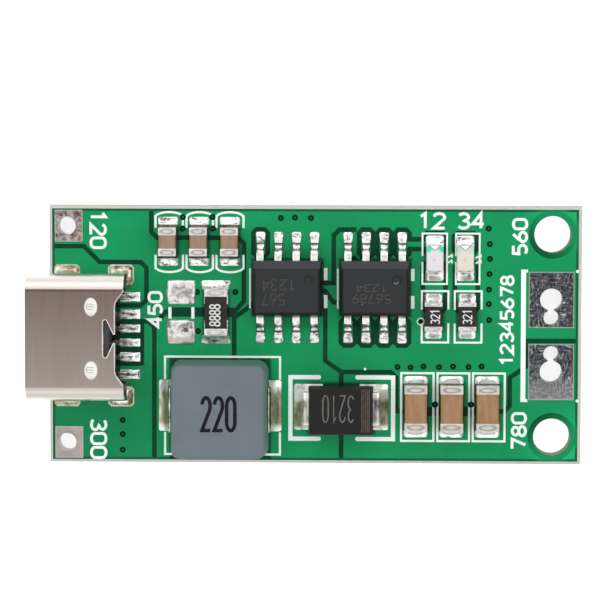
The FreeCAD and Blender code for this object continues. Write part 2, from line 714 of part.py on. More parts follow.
def make_shell():
    body = new_body("usb_shell_body", "port_front_x", "port_y", "port_bottom")
    section = new_sketch(body, "YZ_Plane")
    section.addGeometry(port_section(0), False)
    section.addGeometry(port_section(size("port_wall")), False)
    add_feature(body, "Pad", section, "port_length")
    legs = new_sketch(body, offset="leg_end - board_thickness - copper_thickness - port_lift")
    for column in ("leg_front_x", "leg_rear_x"):
        for side in ("", "-"):
            edge = side + "(port_width / 2 - port_wall / 2)"
            add_rectangle(legs, "leg_length", "port_wall", column + " - port_front_x", edge)
    add_feature(body, "Pad", legs, "port_bottom - leg_end + port_height / 2")
    waist = new_sketch(body, offset="port_height")
    waist.addGeometry(port_rear_outline(), False)
    add_feature(body, "Pocket", waist, "port_height")
    floor = new_sketch(body, offset="port_height / 2")
    add_rectangle(floor, "3 * port_waist", "port_width - 2 * port_corner", "port_length - port_waist")
    cut_through(body, floor)
    latch = new_sketch(body, offset="port_height")
    latch.addGeometry(latch_outline(), False)
    add_feature(body, "Pocket", latch, "port_height / 2")
    dimples = new_sketch(body, offset="port_height")
    for side in (1, -1):
        x = size("port_length") - size("dimple_rear")
        length = size("dimple_length")
        width = size("dimple_width")
        dimples.addGeometry(slot_outline(width, length, x, side * size("dimple_y")), False)
    add_feature(body, "Pocket", dimples, "dimple_depth")
    return node(body, "usb_shell")


def tongue_level():
    return size("port_height") / 2


def make_contact(name, side):
    """A contact on one face of the tongue, with its tail bent down to a foot on the board."""
    thickness = size("contact_thickness")
    level = tongue_level() + side * (size("tongue_thickness") + thickness) / 2
    foot = size("land_thickness") - size("port_lift") + thickness / 2
    front = size("tongue_front_x") + size("contact_tip")
    drop = size("contact_drop_x")
    path = [(front, level), (drop, level), (drop, foot), (size("contact_toe_x"), foot)]
    outline = strip_outline(path, thickness, thickness, faceted=True)
    return extruded_body(name, outline, "contact_width", "XZ_Plane", "0", "0", "port_bottom")


def make_receptacle_inside():
    upper = make_contact("upper_contact", 1)
    lower = make_contact("lower_contact", -1)
    rows = contact_rows()
    upper_rows = [rows[0], rows[1], rows[3]]
    lower_rows = [rows[2], rows[4], rows[5]]
    base = size("port_bottom")
    groups = [
        (source, [(0, y, base, 0) for y in ys])
        for source, ys in ((upper, upper_rows), (lower, lower_rows))
    ]
    contacts = node(copies("contacts", groups), "usb_contacts")

    plate = new_body("mid_plate", "tongue_front_x", "port_y", "port_bottom")
    flat = new_sketch(plate, offset="port_height / 2 - mid_plate_thickness / 2")
    add_rectangle(flat, "mid_plate_length", "mid_plate_width", "mid_plate_length / 2")
    add_feature(plate, "Pad", flat, "mid_plate_thickness")
    node(plate, "usb_mid_plate")

    block = new_body("insulator_block", "0", "port_y", "port_bottom")
    inset = size("port_wall") + size("insulator_clearance")
    section = new_sketch(block, "YZ_Plane", "insulator_front_x")
    section.addGeometry(port_section(inset), False)
    add_feature(block, "Pad", section, "insulator_rear_x - insulator_front_x")
    tongue = new_sketch(block, offset="port_height / 2 - tongue_thickness / 2")
    add_rectangle(tongue, "insulator_rear_x - tongue_front_x", "tongue_width",
                  "(insulator_rear_x + tongue_front_x) / 2")
    add_feature(block, "Pad", tongue, "tongue_thickness")
    inside = doc.addObject("Part::Compound", "moulded_in")
    inside.Links = [contacts, plate]
    node(cut("insulator", block, inside), "usb_insulator")


# Leaded packages

def make_drafted_block(name, length, width, height, draft, standoff, x, y):
    """A moulded block that narrows above and below its parting line."""
    body = new_body(name, x, y, "seat + " + standoff)
    for reverse in (False, True):
        outline = new_sketch(body, offset=f"{height} / 2")
        add_rectangle(outline, length, width)
        half = add_feature(body, "Pad", outline, f"{height} / 2", Reversed=reverse)
        half.setExpression("TaperAngle", formula("-" + draft))
    return body


def make_gull_lead():
    """One gull-wing lead pointing along +Y."""
    middle = size("package_standoff") + size("package_height") / 2
    foot = size("lead_thickness") / 2
    path = [(size("lead_root"), middle), (size("lead_shoulder"), middle), (size("lead_heel"), foot),
            (size("lead_toe"), foot)]
    outline = strip_outline(path, size("lead_thickness"), size("lead_bend"), faceted=True)
    return extruded_body("gull_lead", outline, "lead_width", "YZ_Plane")


def make_packages():
    lead = make_gull_lead()
    for name, column in (("switch", "switch_x"), ("controller", "controller_x")):
        columns = lead_columns(size(column))
        spots = [(x, size("package_y"), size("seat"), turn) for turn in (0, 180) for x in columns]
        leads = node(copies(name + "_leads_group", [(lead, spots)]), name + "_leads")
        block = make_drafted_block(name + "_block", "package_length", "package_width", "package_height",
                                   "package_draft", "package_standoff", column, "package_y")
        doc.recompute()
        moulding = block.Tip
        shape = moulding.Shape
        rims = level_edges(shape, shape.BoundBox.ZMax)
        far_rim = max(rims, key=lambda rim: shape.getElement(rim).CenterOfMass.y)
        bevel = block.newObject("PartDesign::Chamfer", name + "_bevel")
        bevel.Base = (moulding, [far_rim])
        bevel.setExpression("Size", formula("package_bevel"))
        mark = new_sketch(block, offset="package_height")
        add_circle(mark, "pin_mark_radius", "pin_mark_x", "pin_mark_y")
        add_feature(block, "Pocket", mark, "pin_mark_depth")
        node(cut(name + "_moulding", block, leads), name + "_package")


def make_diode():
    thickness = size("diode_lead_thickness")
    middle = size("package_standoff") + thickness + size("diode_height") / 2
    reach = size("diode_span") / 2 - thickness / 2
    path = [(size("diode_root"), middle), (reach, middle), (reach, thickness / 2),
            (reach - size("diode_foot"), thickness / 2)]
    outline = strip_outline(path, thickness, thickness / 2)
    strap = extruded_body("diode_strap", outline, "diode_lead_width", "XZ_Plane")
    place = (size("diode_x"), size("diode_y"), size("seat"))
    anode = node(copies("anode", [(strap, [place + (180,)])]), "diode_anode_lead")
    cathode = node(copies("cathode", [(strap, [place + (0,)])]), "diode_cathode_lead")
    block = make_drafted_block("diode_block", "diode_length", "diode_width", "diode_height", "diode_draft",
                               "package_standoff + diode_lead_thickness",
                               "diode_x", "diode_y + diode_offset")
    leads = doc.addObject("Part::Compound", "diode_straps")
    leads.Links = [anode, cathode]
    node(cut("diode_moulding", block, leads), "diode_body")


def make_inductor():
    body = new_body("inductor", "inductor_x", "inductor_y + inductor_offset",
                    "seat + inductor_strap_thickness")
    slope = math.tan(math.radians(size("inductor_draft")))
    rise = size("inductor_height") - size("inductor_strap_thickness") - size("inductor_edge")
    width = size("inductor_length")
    length = size("inductor_width")
    corner = size("inductor_corner")
    sides = new_sketch(body)
    sides.addGeometry(rounded_rectangle(width, length, corner), False)
    core = add_feature(body, "Pad", sides, "inductor_height - inductor_strap_thickness - inductor_edge")
    core.setExpression("TaperAngle", formula("-inductor_draft"))
    rim = new_sketch(body, offset="inductor_height - inductor_strap_thickness - inductor_edge")
    inset = rise * slope
    rim.addGeometry(rounded_rectangle(width - 2 * inset, length - 2 * inset, corner - inset), False)
    edge = add_feature(body, "Pad", rim, "inductor_edge")
    edge.setExpression("TaperAngle", formula("-inductor_edge_slope"))
    node(body, "inductor_body")

    # The strap leans against the drafted side
    thickness = size("inductor_strap_thickness")
    lean = math.radians(size("inductor_draft"))
    wall = size("inductor_length") / 2 + thickness / 2 * (1 / math.cos(lean) + slope)
    top = wall - (size("inductor_strap_rise") - thickness / 2) * slope
    path = [(top, size("inductor_strap_rise")), (wall, thickness / 2),
            (wall - size("inductor_strap_foot"), thickness / 2)]
    outline = strip_outline(path, thickness, 0)
    strap = extruded_body("inductor_strap", outline, "inductor_strap_width", "XZ_Plane")
    place = (size("inductor_x"), size("inductor_y") + size("inductor_offset"), size("seat"))
    for side, turn in (("left", 180), ("right", 0)):
        node(copies(side + "_strap", [(strap, [place + (turn,)])]), f"inductor_{side}_terminal")


# Chip components, each a body between two plated ends

def make_end_cap(name, width, height, length, band):
    """A plated end: a cap that wraps the last stretch of a chip pointing along +Y."""
    outer = new_body(name)
    outline = new_sketch(outer)
    add_rectangle(outline, width, band, "0", f"{length} / 2 - {band} / 2")
    add_feature(outer, "Pad", outline, height)
    recess = new_sketch(outer, offset="plating_cap")
    add_rectangle(recess, f"{width} - 2 * plating_cap", band, "0",
                  f"{length} / 2 - {band} / 2 - plating_cap")
    add_feature(outer, "Pocket", recess, f"{height} - 2 * plating_cap", Reversed=True)
    return outer


def make_chip_body(label, width, height, length, x, y):
    """The block inside a chip's plated ends."""
    body = new_body(label + "_block", x, y, "seat + plating_cap")
    outline = new_sketch(body)
    add_rectangle(outline, f"{width} - 2 * plating_cap", f"{length} - 2 * plating_cap")
    add_feature(body, "Pad", outline, f"{height} - 2 * plating_cap")
    return node(body, label)


def add_ends(label, cap, x, y):
    place = (x, y, size("seat"))
    node(copies(label + "_pair", [(cap, [place + (0,), place + (180,)])]), label)


def make_capacitors():
    banks = (("input", "small", 3), ("output", "large", 3))
    for bank, case, count in banks:
        prefix = bank + "_capacitor"
        height = prefix + "_height"
        cap = make_end_cap(prefix + "_cap", case + "_width", height, case + "_length", prefix + "_band")
        for index in range(count):
            x = size(prefix + "_x") + index * size(prefix + "_pitch")
            label = f"{prefix}_{index + 1}"
            make_chip_body(label, case + "_width", height, case + "_length",
                           f"{prefix}_x + {index} * {prefix}_pitch", prefix + "_y")
            add_ends(label + "_ends", cap, x, size(prefix + "_y"))


def make_resistor(label, case, cap, x, y):
    make_chip_body(label + "_substrate", case + "_width", "resistor_height", case + "_length", x, y)
    coating = new_body(label + "_film", x, y, "seat + resistor_height - plating_cap")
    outline = new_sketch(coating)
    add_rectangle(outline, f"{case}_width - 2 * plating_cap", f"{case}_length - 2 * {case}_band")
    add_feature(coating, "Pad", outline, "resistor_coating")
    node(coating, label + "_coating")
    add_ends(label + "_ends", cap, size(x), size(y))


def make_resistors():
    large_cap = make_end_cap("large_resistor_cap", "large_width", "resistor_height", "large_length",
                             "large_band")
    make_resistor("sense_resistor", "large", large_cap, "sense_x", "sense_y")
    small_cap = make_end_cap("small_resistor_cap", "small_width", "resistor_height", "small_length",
                             "small_band")
    for index, column in enumerate(("lamp_resistor_first_x", "lamp_resistor_second_x"), start=1):
        make_resistor(f"lamp_resistor_{index}", "small", small_cap, column, "lamp_resistor_y")


def make_lamps():
    """Two indicator lamps: a base, a clear block over it and plated ends."""
    cap = make_end_cap("lamp_cap", "small_width", "lamp_base", "small_length", "lamp_band")
    for index, column in enumerate(("lamp_first_x", "lamp_second_x"), start=1):
        label = f"lamp_{index}"
        base = make_chip_body(label + "_base", "small_width", "lamp_base", "small_length", column, "lamp_y")
        between = new_sketch(base, offset="lamp_base - 2 * plating_cap")
        add_rectangle(between, "small_width - 2 * plating_cap", "small_length - 2 * lamp_band")
        add_feature(base, "Pad", between, "plating_cap")
        lens = new_body(label + "_clear", column, "lamp_y", "seat + lamp_base")
        outline = new_sketch(lens)
        add_rectangle(outline, "small_width", "lamp_lens_length")
        block = add_feature(lens, "Pad", outline, "lamp_height - lamp_base")
        block.setExpression("TaperAngle", formula("-lamp_lens_draft"))
        node(lens, label + "_lens")
        add_ends(label + "_ends", cap, size(column), size("lamp_y"))


# Solder: a thin plate over each land, with a hollow fillet up to the metal that it holds

EDGE_SHARE = 0.5  # height of a joint's outer edge, as a share of the plate's
HOLLOW_REACH = 0.36  # where the fillet's lowest part lies between the metal and the outer edge
HOLLOW_RISE = 0.3  # and its height there, as a share of the whole rise
TALL_WET = 0.75  # shares of a part's height that its solder wets
MIDDLE_WET = 0.6
STRAP_WET = 0.3
LUMP_LEVELS = 3  # steps of the solder lumps on the empty resistor lands


def make_joint(name, inner, outer, face, rise, width):
    """A joint pointing along +Y from the component's middle; face is the metal's end."""
    film = size("land_thickness")
    start = Vector(outer, film * EDGE_SHARE, 0)
    middle = Vector(face + (outer - face) * HOLLOW_REACH, film + rise * HOLLOW_RISE, 0)
    end = Vector(face, film + rise, 0)
    base = Vector(face, film, 0)
    corner = Vector(outer, 0, 0)
    origin = Vector(inner, 0, 0)
    heel = Vector(inner, film, 0)
    outline = [
        Part.LineSegment(origin, corner),
        Part.LineSegment(corner, start),
        Part.LineSegment(start, middle),
        Part.LineSegment(middle, end),
        Part.LineSegment(end, base),
        Part.LineSegment(base, heel),
        Part.LineSegment(heel, origin),
    ]
    return extruded_body(name, outline, width, "YZ_Plane")


def both_ends(x, y, turns=(0, 180)):
    return [(x, y, size("copper_top"), turn) for turn in turns]


def make_chip_solder():
    end = size("small_length") / 2
    inputs = make_joint("input_capacitor_joint", size("small_land_inner"), size("input_land_outer"), end,
                        TALL_WET * size("input_capacitor_height"), "input_capacitor_land_width")
    lamps = make_joint("lamp_joint", size("small_land_inner"), size("small_land_outer"), end,
                       size("lamp_base"), "lamp_land_width")
    end = size("large_length") / 2
    outputs = make_joint("output_capacitor_joint", size("large_land_inner"), size("large_land_outer"), end,
                         MIDDLE_WET * size("output_capacitor_height"), "large_land_width")
    sense_inner = size("sense_land_centre") - size("sense_land_width") / 2
    sense_outer = size("sense_land_centre") + size("sense_land_width") / 2
    sense = make_joint("sense_joint", sense_inner, sense_outer, end, TALL_WET * size("resistor_height"),
                       "sense_land_length")
    groups = []
    for bank, joint in (("input", inputs), ("output", outputs)):
        prefix = bank + "_capacitor"
        for index in range(3):
            x = size(prefix + "_x") + index * size(prefix + "_pitch")
            groups.append((joint, both_ends(x, size(prefix + "_y"))))
    for lamp_x, resistor_x in lamp_columns():
        groups.append((lamps, both_ends(lamp_x, size("lamp_y"))))
        groups.append((lamps, both_ends(resistor_x, size("lamp_resistor_y"))))
    groups.append((sense, both_ends(size("sense_x"), size("sense_y"))))
    node(copies("chip_joints", groups), "chip_solder")

    lump = new_body("spare_lump")
    for level in range(LUMP_LEVELS):
        layer = new_sketch(lump, offset=f"{level} * lump_height")
        width = size("sense_land_length") - 2 * level * size("lump_step")
        length = size("sense_land_width") - 2 * level * size("lump_step")
        corner = size("lump_corner") + level * size("lump_step")
        layer.addGeometry(rounded_rectangle(width, length, corner, faceted=True), False)
        add_feature(lump, "Pad", layer, "lump_height")
    centre = size("sense_land_centre")
    spots = [(size("spare_x"), size("sense_y") + side * centre, size("copper_top"), 0) for side in (1, -1)]
    node(copies("spare_lands", [(lump, spots)]), "spare_resistor_lands")


def make_lead_solder():
    gull = make_joint("gull_joint", size("lead_land_inner"), size("lead_land_outer"), size("lead_toe"),
                      size("lead_thickness"), "lead_land_width")
    groups = []
    for column in ("switch_x", "controller_x"):
        for x in lead_columns(size(column)):
            groups.append((gull, both_ends(x, size("package_y"))))
    node(copies("lead_joints", groups), "lead_solder")


def make_power_solder():
    diode = make_joint("diode_joint", size("diode_land_inner"), size("diode_land_outer"),
                       size("diode_span") / 2, STRAP_WET * size("diode_height"), "diode_land_width")
    face = size("inductor_length") / 2 + size("inductor_strap_thickness")
    inductor = make_joint("inductor_joint", size("inductor_land_inner"), size("inductor_land_outer"), face,
                          STRAP_WET * size("inductor_height"), "inductor_land_width")
    groups = [
        (diode, both_ends(size("diode_x"), size("diode_y"), (90, -90))),
        (inductor, both_ends(size("inductor_x"), size("inductor_y"), (90, -90))),
    ]
    node(copies("power_joints", groups), "power_solder")


def make_port_solder():
    shell = doc.getObject("usb_shell_body")
    origin = size("contact_land_inner")
    contact = make_joint("contact_joint", 0, size("contact_land_outer") - origin,
                         size("contact_toe_x") - origin, size("contact_thickness"), "contact_land_width")
    spots = [(origin, y, size("copper_top"), -90) for y in contact_rows()]
    fill = new_body("slot_fill")
    plug = new_sketch(fill, offset="leg_end")
    plug.addGeometry(slot_outline(size("slot_length"), size("slot_width")), False)
    add_feature(fill, "Pad", plug, "seat - leg_end")
    mound = new_sketch(fill, offset="seat")
    width = size("slot_land_length") - 2 * size("slot_heap_inset")
    length = size("slot_land_width") - 2 * size("slot_heap_inset")
    mound.addGeometry(rounded_rectangle(width, length, size("slot_land_corner"), faceted=True), False)
    heap = add_feature(fill, "Pad", mound, "slot_heap")
    heap.setExpression("TaperAngle", formula("-slot_heap_draft"))
    slots = [(x, y, 0, 0) for x, y in slot_centres()]
    heaps = copies("slot_heaps", [(fill, slots)])
    node(cut("slot_solder", heaps, shell), "shell_solder")
    node(copies("contact_joints", [(contact, spots)]), "contact_solder")


# The module

def write_nodes():
    doc.recompute()
    for item in doc.Objects:
        if "Invalid" in item.State or "Error" in item.State:
            raise ValueError(f"{item.Label} did not recompute: {item.State}")
    for item in NODES:
        if item.Shape.isNull() or not item.Shape.isValid() or not item.Shape.Solids:
            raise ValueError(f"{item.Label} has no valid solid")
    os.makedirs("parts", exist_ok=True)
    for item in NODES:
        item.Shape.exportStep(f"parts/{item.Label}.step")
        box = item.Shape.BoundBox
        print(f"{item.Label:28s} {len(item.Shape.Solids):3d} solids {item.Shape.Volume:9.3f} mm3, "
              f"Z {box.ZMin:.3f} to {box.ZMax:.3f}")


make_board()
make_plated_holes()
make_slot_lands()
make_copper()
make_shell()
make_receptacle_inside()
make_packages()
make_diode()
make_inductor()
make_capacitors()
make_resistors()
make_lamps()
make_chip_solder()
make_lead_solder()
make_power_solder()
make_port_solder()
write_nodes()
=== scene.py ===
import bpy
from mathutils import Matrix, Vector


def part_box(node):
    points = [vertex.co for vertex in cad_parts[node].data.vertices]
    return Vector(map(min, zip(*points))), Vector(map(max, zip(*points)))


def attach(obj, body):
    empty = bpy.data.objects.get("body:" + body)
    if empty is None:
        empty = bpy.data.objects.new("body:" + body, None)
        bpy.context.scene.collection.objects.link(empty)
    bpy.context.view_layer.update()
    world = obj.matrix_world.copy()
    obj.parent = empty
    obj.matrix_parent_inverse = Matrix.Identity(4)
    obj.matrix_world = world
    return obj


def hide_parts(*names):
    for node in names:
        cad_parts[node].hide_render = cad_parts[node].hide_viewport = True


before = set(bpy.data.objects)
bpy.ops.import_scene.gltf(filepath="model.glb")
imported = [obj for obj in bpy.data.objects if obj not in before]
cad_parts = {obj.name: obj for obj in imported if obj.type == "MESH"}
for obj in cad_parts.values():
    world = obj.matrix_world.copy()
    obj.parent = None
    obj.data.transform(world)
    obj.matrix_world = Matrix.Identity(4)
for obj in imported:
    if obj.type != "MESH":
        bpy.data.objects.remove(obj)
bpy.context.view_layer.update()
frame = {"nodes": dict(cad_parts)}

from fnmatch import filter as matching
from functools import partialmethod
import math
import random

import bmesh
import bpy
from mathutils import Matrix, Vector

MM = 0.001
NODES = frame["nodes"]

# Sizes in mm, board frame
MASK_LEVEL = 1.6      # bare board under the copper
COPPER_LEVEL = 1.635  # masked copper
PRINT_LEVEL = 1.65    # top of the white print
RIBBON_CLIMB = 0.004  # rise of a ribbon's top from its start to its end
MARK_DEPTH = 0.02     # how far a mark reaches into the part that carries it
SHIFT = -0.05         # the print's measured places are this much off the board's middle, both ways
HALF_LENGTH, HALF_WIDTH = 18.825, 9.15
MOUNT_X, MOUNT_Y = HALF_LENGTH - 2.075, HALF_WIDTH - 2.0
PORT_Y = -0.09
CONTACT_ROWS = [side * row + PORT_Y for row in (0.5, 1.52, 2.75) for side in (-1, 1)]
PACKAGES, PACKAGE_Y, LEAD_PITCH = (-1.92, 4.26), 3.36, 1.27
DIODE = (1.89, -5.09)
INDUCTOR = (-6.68, -5.03)
INPUT_ROW, INPUT_Y = [-10.35 + 2.18 * k for k in range(3)], 6.6
OUTPUT_ROW, OUTPUT_Y = [7.16 + 2.52 * k for k in range(3)], -5.05
LAMPS, LAMP_Y = (8.46, 10.6), 5.46
LAMP_RESISTORS, LAMP_RESISTOR_Y = (8.38, 10.76), 1.37
SENSE_X, SPARE_X, SENSE_Y = -6.97, -9.45, 1.59
DIMPLE_X = -15.53
CREASE = 30.0  # degrees

# The photo's camera
PHOTO_PIXELS = 600.0
FOCAL_PIXELS = 2933.5
SENSOR = 36.0
CAMERA_PLACE = (5.83 + SHIFT, 15.68 + SHIFT, 208.2)
CAMERA_TURN = (3.644, -1.886, -0.216)


# Camera and light

def set_camera():
    data = bpy.data.cameras.new("photo_camera")
    data.sensor_width = SENSOR
    data.lens = FOCAL_PIXELS * SENSOR / PHOTO_PIXELS
    data.clip_start = 0.01
    data.clip_end = 20.0
    item = bpy.data.objects.new("photo_camera", data)
    bpy.context.scene.collection.objects.link(item)
    world_to_camera = Matrix.Identity(3)
    for angle, axis in zip(CAMERA_TURN, "XYZ"):
        world_to_camera = Matrix.Rotation(math.radians(angle), 3, axis) @ world_to_camera
    place = Matrix.Translation(Vector(CAMERA_PLACE) * MM)
    item.matrix_world = place @ world_to_camera.transposed().to_4x4()
    bpy.context.scene.camera = item


def soft_box(name, place, width, height, radiance):
    """A rectangular light that looks at the middle of the board."""
    data = bpy.data.lights.new(name, "AREA")
    data.shape = "RECTANGLE"
    data.size = width
    data.size_y = height
    data.energy = radiance * math.pi * width * height
    item = bpy.data.objects.new(name, data)
    item.location = place
    item.rotation_euler = (-Vector(place)).to_track_quat("-Z", "Y").to_euler()
    item.visible_camera = False
    bpy.context.scene.collection.objects.link(item)


# Node helpers

def rgb(text):
    """A screen colour such as #0d482e as the shader's linear values."""
    def linear(value):
        value /= 255.0
        return value / 12.92 if value <= 0.04045 else ((value + 0.055) / 1.055) ** 2.4
    return tuple(linear(int(text[n:n + 2], 16)) for n in (1, 3, 5)) + (1.0,)


class Value:
    """A number that a node gives. Signs join it to others through further nodes."""

    def __init__(self, graph, socket):
        self.graph = graph
        self.socket = socket

    def math(self, operation, *others, **settings):
        inputs = dict(enumerate((self,) + others))
        return Value(self.graph, self.graph.new("Math", inputs, operation=operation, **settings))

    __add__ = partialmethod(math, "ADD")
    __sub__ = partialmethod(math, "SUBTRACT")
    __mul__ = partialmethod(math, "MULTIPLY")
    __truediv__ = partialmethod(math, "DIVIDE")
    __pow__ = partialmethod(math, "POWER")
    __abs__ = partialmethod(math, "ABSOLUTE")

    def step(self, low, high):
        """0 below low, 1 above high."""
        inputs = {"Value": self, "From Min": low, "From Max": high}
        return Value(self.graph, self.graph.new("MapRange", inputs))


def most(first, *others):
    for other in others:
        first = first.math("MAXIMUM", other)
    return first


def least(first, *others):
    for other in others:
        first = first.math("MINIMUM", other)
    return first


class Graph:
    """A material's or the world's node tree, with short calls for the nodes used here."""

    def __init__(self, name, kind="Material"):
        group = bpy.data.worlds if kind == "World" else bpy.data.materials
        self.owner = group.new(name)
        self.owner.use_nodes = True
        self.tree = self.owner.node_tree
        self.tree.nodes.clear()
        self.colour = None
        self.output = self.tree.nodes.new("ShaderNodeOutput" + kind)

    def put(self, socket, value):
        if isinstance(value, str):
            value = rgb(value)
        elif isinstance(value, Value):
            value = value.socket
        if isinstance(value, bpy.types.NodeSocket):
            self.tree.links.new(value, socket)
        elif value is not None:
            socket.default_value = value

    def new(self, kind, inputs, output=0, **settings):
        """Makes a node, its kind named without ShaderNode, and gives one of its outputs."""
        item = self.tree.nodes.new("ShaderNode" + kind)
        for key, value in settings.items():
            setattr(item, key, value)
        for key, value in inputs.items():
            self.put(item.inputs[key], value)
        return item.outputs[output]

    def end(self, shader):
        self.put(self.output.inputs[0], shader)
        return self.owner

    def parts(self, vector):
        first = self.new("SeparateXYZ", {0: vector})
        return [Value(self, socket) for socket in first.node.outputs]

    def facing(self):
        """The surface's own direction."""
        return self.parts(self.new("NewGeometry", {}, "Normal"))

    def share(self):
        """The place within the piece's own box, 0 to 1 along X and along Y."""
        return self.parts(self.new("TexCoord", {}, "Generated"))[:2]

    def noise(self, scale, detail=3.0, roughness=0.55, distortion=0.0, stretch=(1.0, 1.0, 1.0)):
        """0 to 1, wandering over the surface at a number of lumps per mm."""
        place = self.new("VectorMath", {0: self.place, 1: stretch}, operation="MULTIPLY")
        return Value(self, self.new("TexNoise", {
            "Vector": place, "Scale": scale, "Detail": detail, "Roughness": roughness,
            "Distortion": distortion}, "Fac"))

    def ramp(self, factor, stops):
        """Colours, or greys, along a factor: each stop is a position and its tone."""
        socket = self.new("ValToRGB", {0: factor})
        elements = socket.node.color_ramp.elements
        for position, tone in stops[2:]:
            elements.new(position)
        for element, (position, tone) in zip(elements, stops):
            element.position = position
            element.color = rgb(tone) if isinstance(tone, str) else (tone, tone, tone, 1.0)
        return socket

    def mix(self, factor, first, second):
        return self.new("Mix", {0: factor, 6: first, 7: second}, 2, data_type="RGBA")

    def tint(self, factor, tone):
        """Lays a tone over the material's colour so far."""
        self.colour = self.mix(factor, self.colour, tone)

    def seen(self):
        """1 where the surface is seen, straight or mirrored, and 0 where it only lights others."""
        rays = self.new("LightPath", {}).node.outputs
        either = Value(self, rays["Is Camera Ray"]) + rays["Is Glossy Ray"]
        return either.math("ADD", rays["Is Transmission Ray"], use_clamp=True)

    def finish(self, roughness, metallic, height, strength, depth, specular=None, normal=None):
        """Ends the material with a shader whose relief, in mm, follows the given height."""
        relief = self.new("Bump", {
            "Height": height, "Strength": strength, "Distance": depth * MM, "Normal": normal})
        return self.end(self.new("BsdfPrincipled", {
            "Base Color": self.colour, "Roughness": roughness, "Metallic": metallic, "Normal": relief,
            "Specular IOR Level": specular}))


def start(name):
    """A new material's graph, and the three parts of the point on the surface in mm."""
    graph = Graph(name)
    graph.place = graph.new("VectorMath", {
        0: graph.new("TexCoord", {}, "Object"), "Scale": 1.0 / MM}, operation="SCALE")
    return [graph] + graph.parts(graph.place)


def oval(u, v, centre_u, centre_v, radius_u, radius_v):
    """Distance from a centre, 1 on the oval's edge."""
    du = (u - centre_u) / radius_u
    dv = (v - centre_v) / radius_v
    return (du * du + dv * dv).math("SQRT")


# Stage

def set_world():
    """White, seen as it is, but as a light stronger from above than from the sides."""
    graph = Graph("studio", "World")
    up = graph.parts(graph.new("TexCoord", {}, "Generated"))[2]
    dome, sky = (graph.new("Background", {0: graph.ramp(up, stops)}) for stops in (
        [(0.45, 0.55), (1.0, 1.0)], [(0.0, 1.0), (0.6, 1.0), (0.9, 0.94), (1.0, 0.9)]))
    graph.end(graph.new("MixShader", {0: graph.seen(), 1: dome, 2: sky}))
    bpy.context.scene.world = graph.owner


def floor_material():
    mat, *_ = start("floor_white")
    tone = mat.ramp(mat.noise(0.02, 2.0), [(0.3, 0.86), (0.7, 0.88)])
    matt = mat.new("BsdfDiffuse", {0: tone})
    glow = mat.new("Emission", {"Strength": mat.seen() * 0.72})
    return mat.end(mat.new("AddShader", {0: matt, 1: glow}))


def set_stage():
    reach, low = 4.0, -0.00005
    mesh = bpy.data.meshes.new("floor")
    corners = [(-reach, -reach, low), (reach, -reach, low), (reach, reach, low), (-reach, reach, low)]
    mesh.from_pydata(corners, [], [(0, 1, 2, 3)])
    floor = bpy.data.objects.new("floor", mesh)
    bpy.context.scene.collection.objects.link(floor)
    mesh.materials.append(floor_material())
    soft_box("far_box", (-0.05, 0.34, 0.26), 0.5, 0.2, 1.5)
    soft_box("near_box", (0.05, -0.36, 0.22), 0.5, 0.16, 1.1)
    soft_box("left_box", (-0.36, 0.02, 0.24), 0.2, 0.4, 1.0)
    soft_box("right_box", (0.36, 0.05, 0.24), 0.2, 0.4, 1.0)
    bpy.context.scene.view_settings.view_transform = "Standard"


# Mesh helpers

def piece(name, shape, finishes):
    mesh = bpy.data.meshes.new(name)
    shape.to_mesh(mesh)
    shape.free()
    item = bpy.data.objects.new(name, mesh)
    bpy.context.scene.collection.objects.link(item)
    for name in finishes:
        mesh.materials.append(bpy.data.materials[name])
    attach(item, "root")
    return item


def point(shape, x, y, z):
    return shape.verts.new(Vector((x, y, z)) * MM)


def sheet(shape, rows):
    """Four-sided faces between rows of points."""
    for first, second in zip(rows, rows[1:]):
        for n in range(len(first) - 1):
            shape.faces.new((first[n], first[n + 1], second[n + 1], second[n]))


def ribbon(shape, points, width, low, high, closed=False, rise=0.0):
    """A flat strip of constant width along a line, mitred at its turns."""
    count = len(points)
    spots = [Vector((x, y)) for x, y in points]
    rings = []
    for number, spot in enumerate(spots):
        ahead = spots[(number + 1) % count] - spot if closed or number < count - 1 else None
        back = spot - spots[number - 1] if closed or number > 0 else None
        ahead = (back if ahead is None else ahead).normalized()
        back = (ahead if back is None else back).normalized()
        side = ahead + back
        side = side.normalized() if side.length > 1e-6 else ahead
        across = Vector((-side.y, side.x))
        across *= width / 2 / max(0.35, across.dot(Vector((-ahead.y, ahead.x))))
        # The top climbs by a hair along the line, so that where it crosses itself one layer lies on the other
        top = high + rise + RIBBON_CLIMB * number / count
        a, b = spot + across, spot - across
        rings.append([point(shape, p.x, p.y, z) for p, z in ((a, low), (a, top), (b, top), (b, low))])
    faces = []
    for first, second in zip(rings, rings[1:] + rings[:1] if closed else rings[1:]):
        for n in range(4):
            follow = (n + 1) % 4
            faces.append(shape.faces.new((first[n], first[follow], second[follow], second[n])))
    if not closed:
        faces.append(shape.faces.new(list(reversed(rings[0]))))
        faces.append(shape.faces.new(rings[-1]))
    for face in faces:
        face.normal_update()
    lids = [face for face in faces if abs(face.normal.z) > 0.9]
    if sum(face.normal.z * face.calc_center_median().z for face in lids) < 0:
        bmesh.ops.reverse_faces(shape, faces=faces)


def lathe(shape, x, y, profile, sides=20, indices=None):
    """Rings of the profile's (radius, height) pairs round a vertical line, closed at the last."""
    rings = []
    for radius, level in profile:
        turns = [math.tau * n / sides for n in range(sides if radius > 0 else 1)]
        rings.append([point(shape, x + radius * math.cos(t), y + radius * math.sin(t), level) for t in turns])
    for number, (first, second) in enumerate(zip(rings, rings[1:])):
        for n in range(sides):
            follow = (n + 1) % sides
            corners = (second[0],) if len(second) == 1 else (second[follow], second[n])
            face = shape.faces.new((first[n], first[follow]) + corners)
            face.material_index = indices[number] if indices else 0


# Plain numerals as strokes in a box one wide and two high

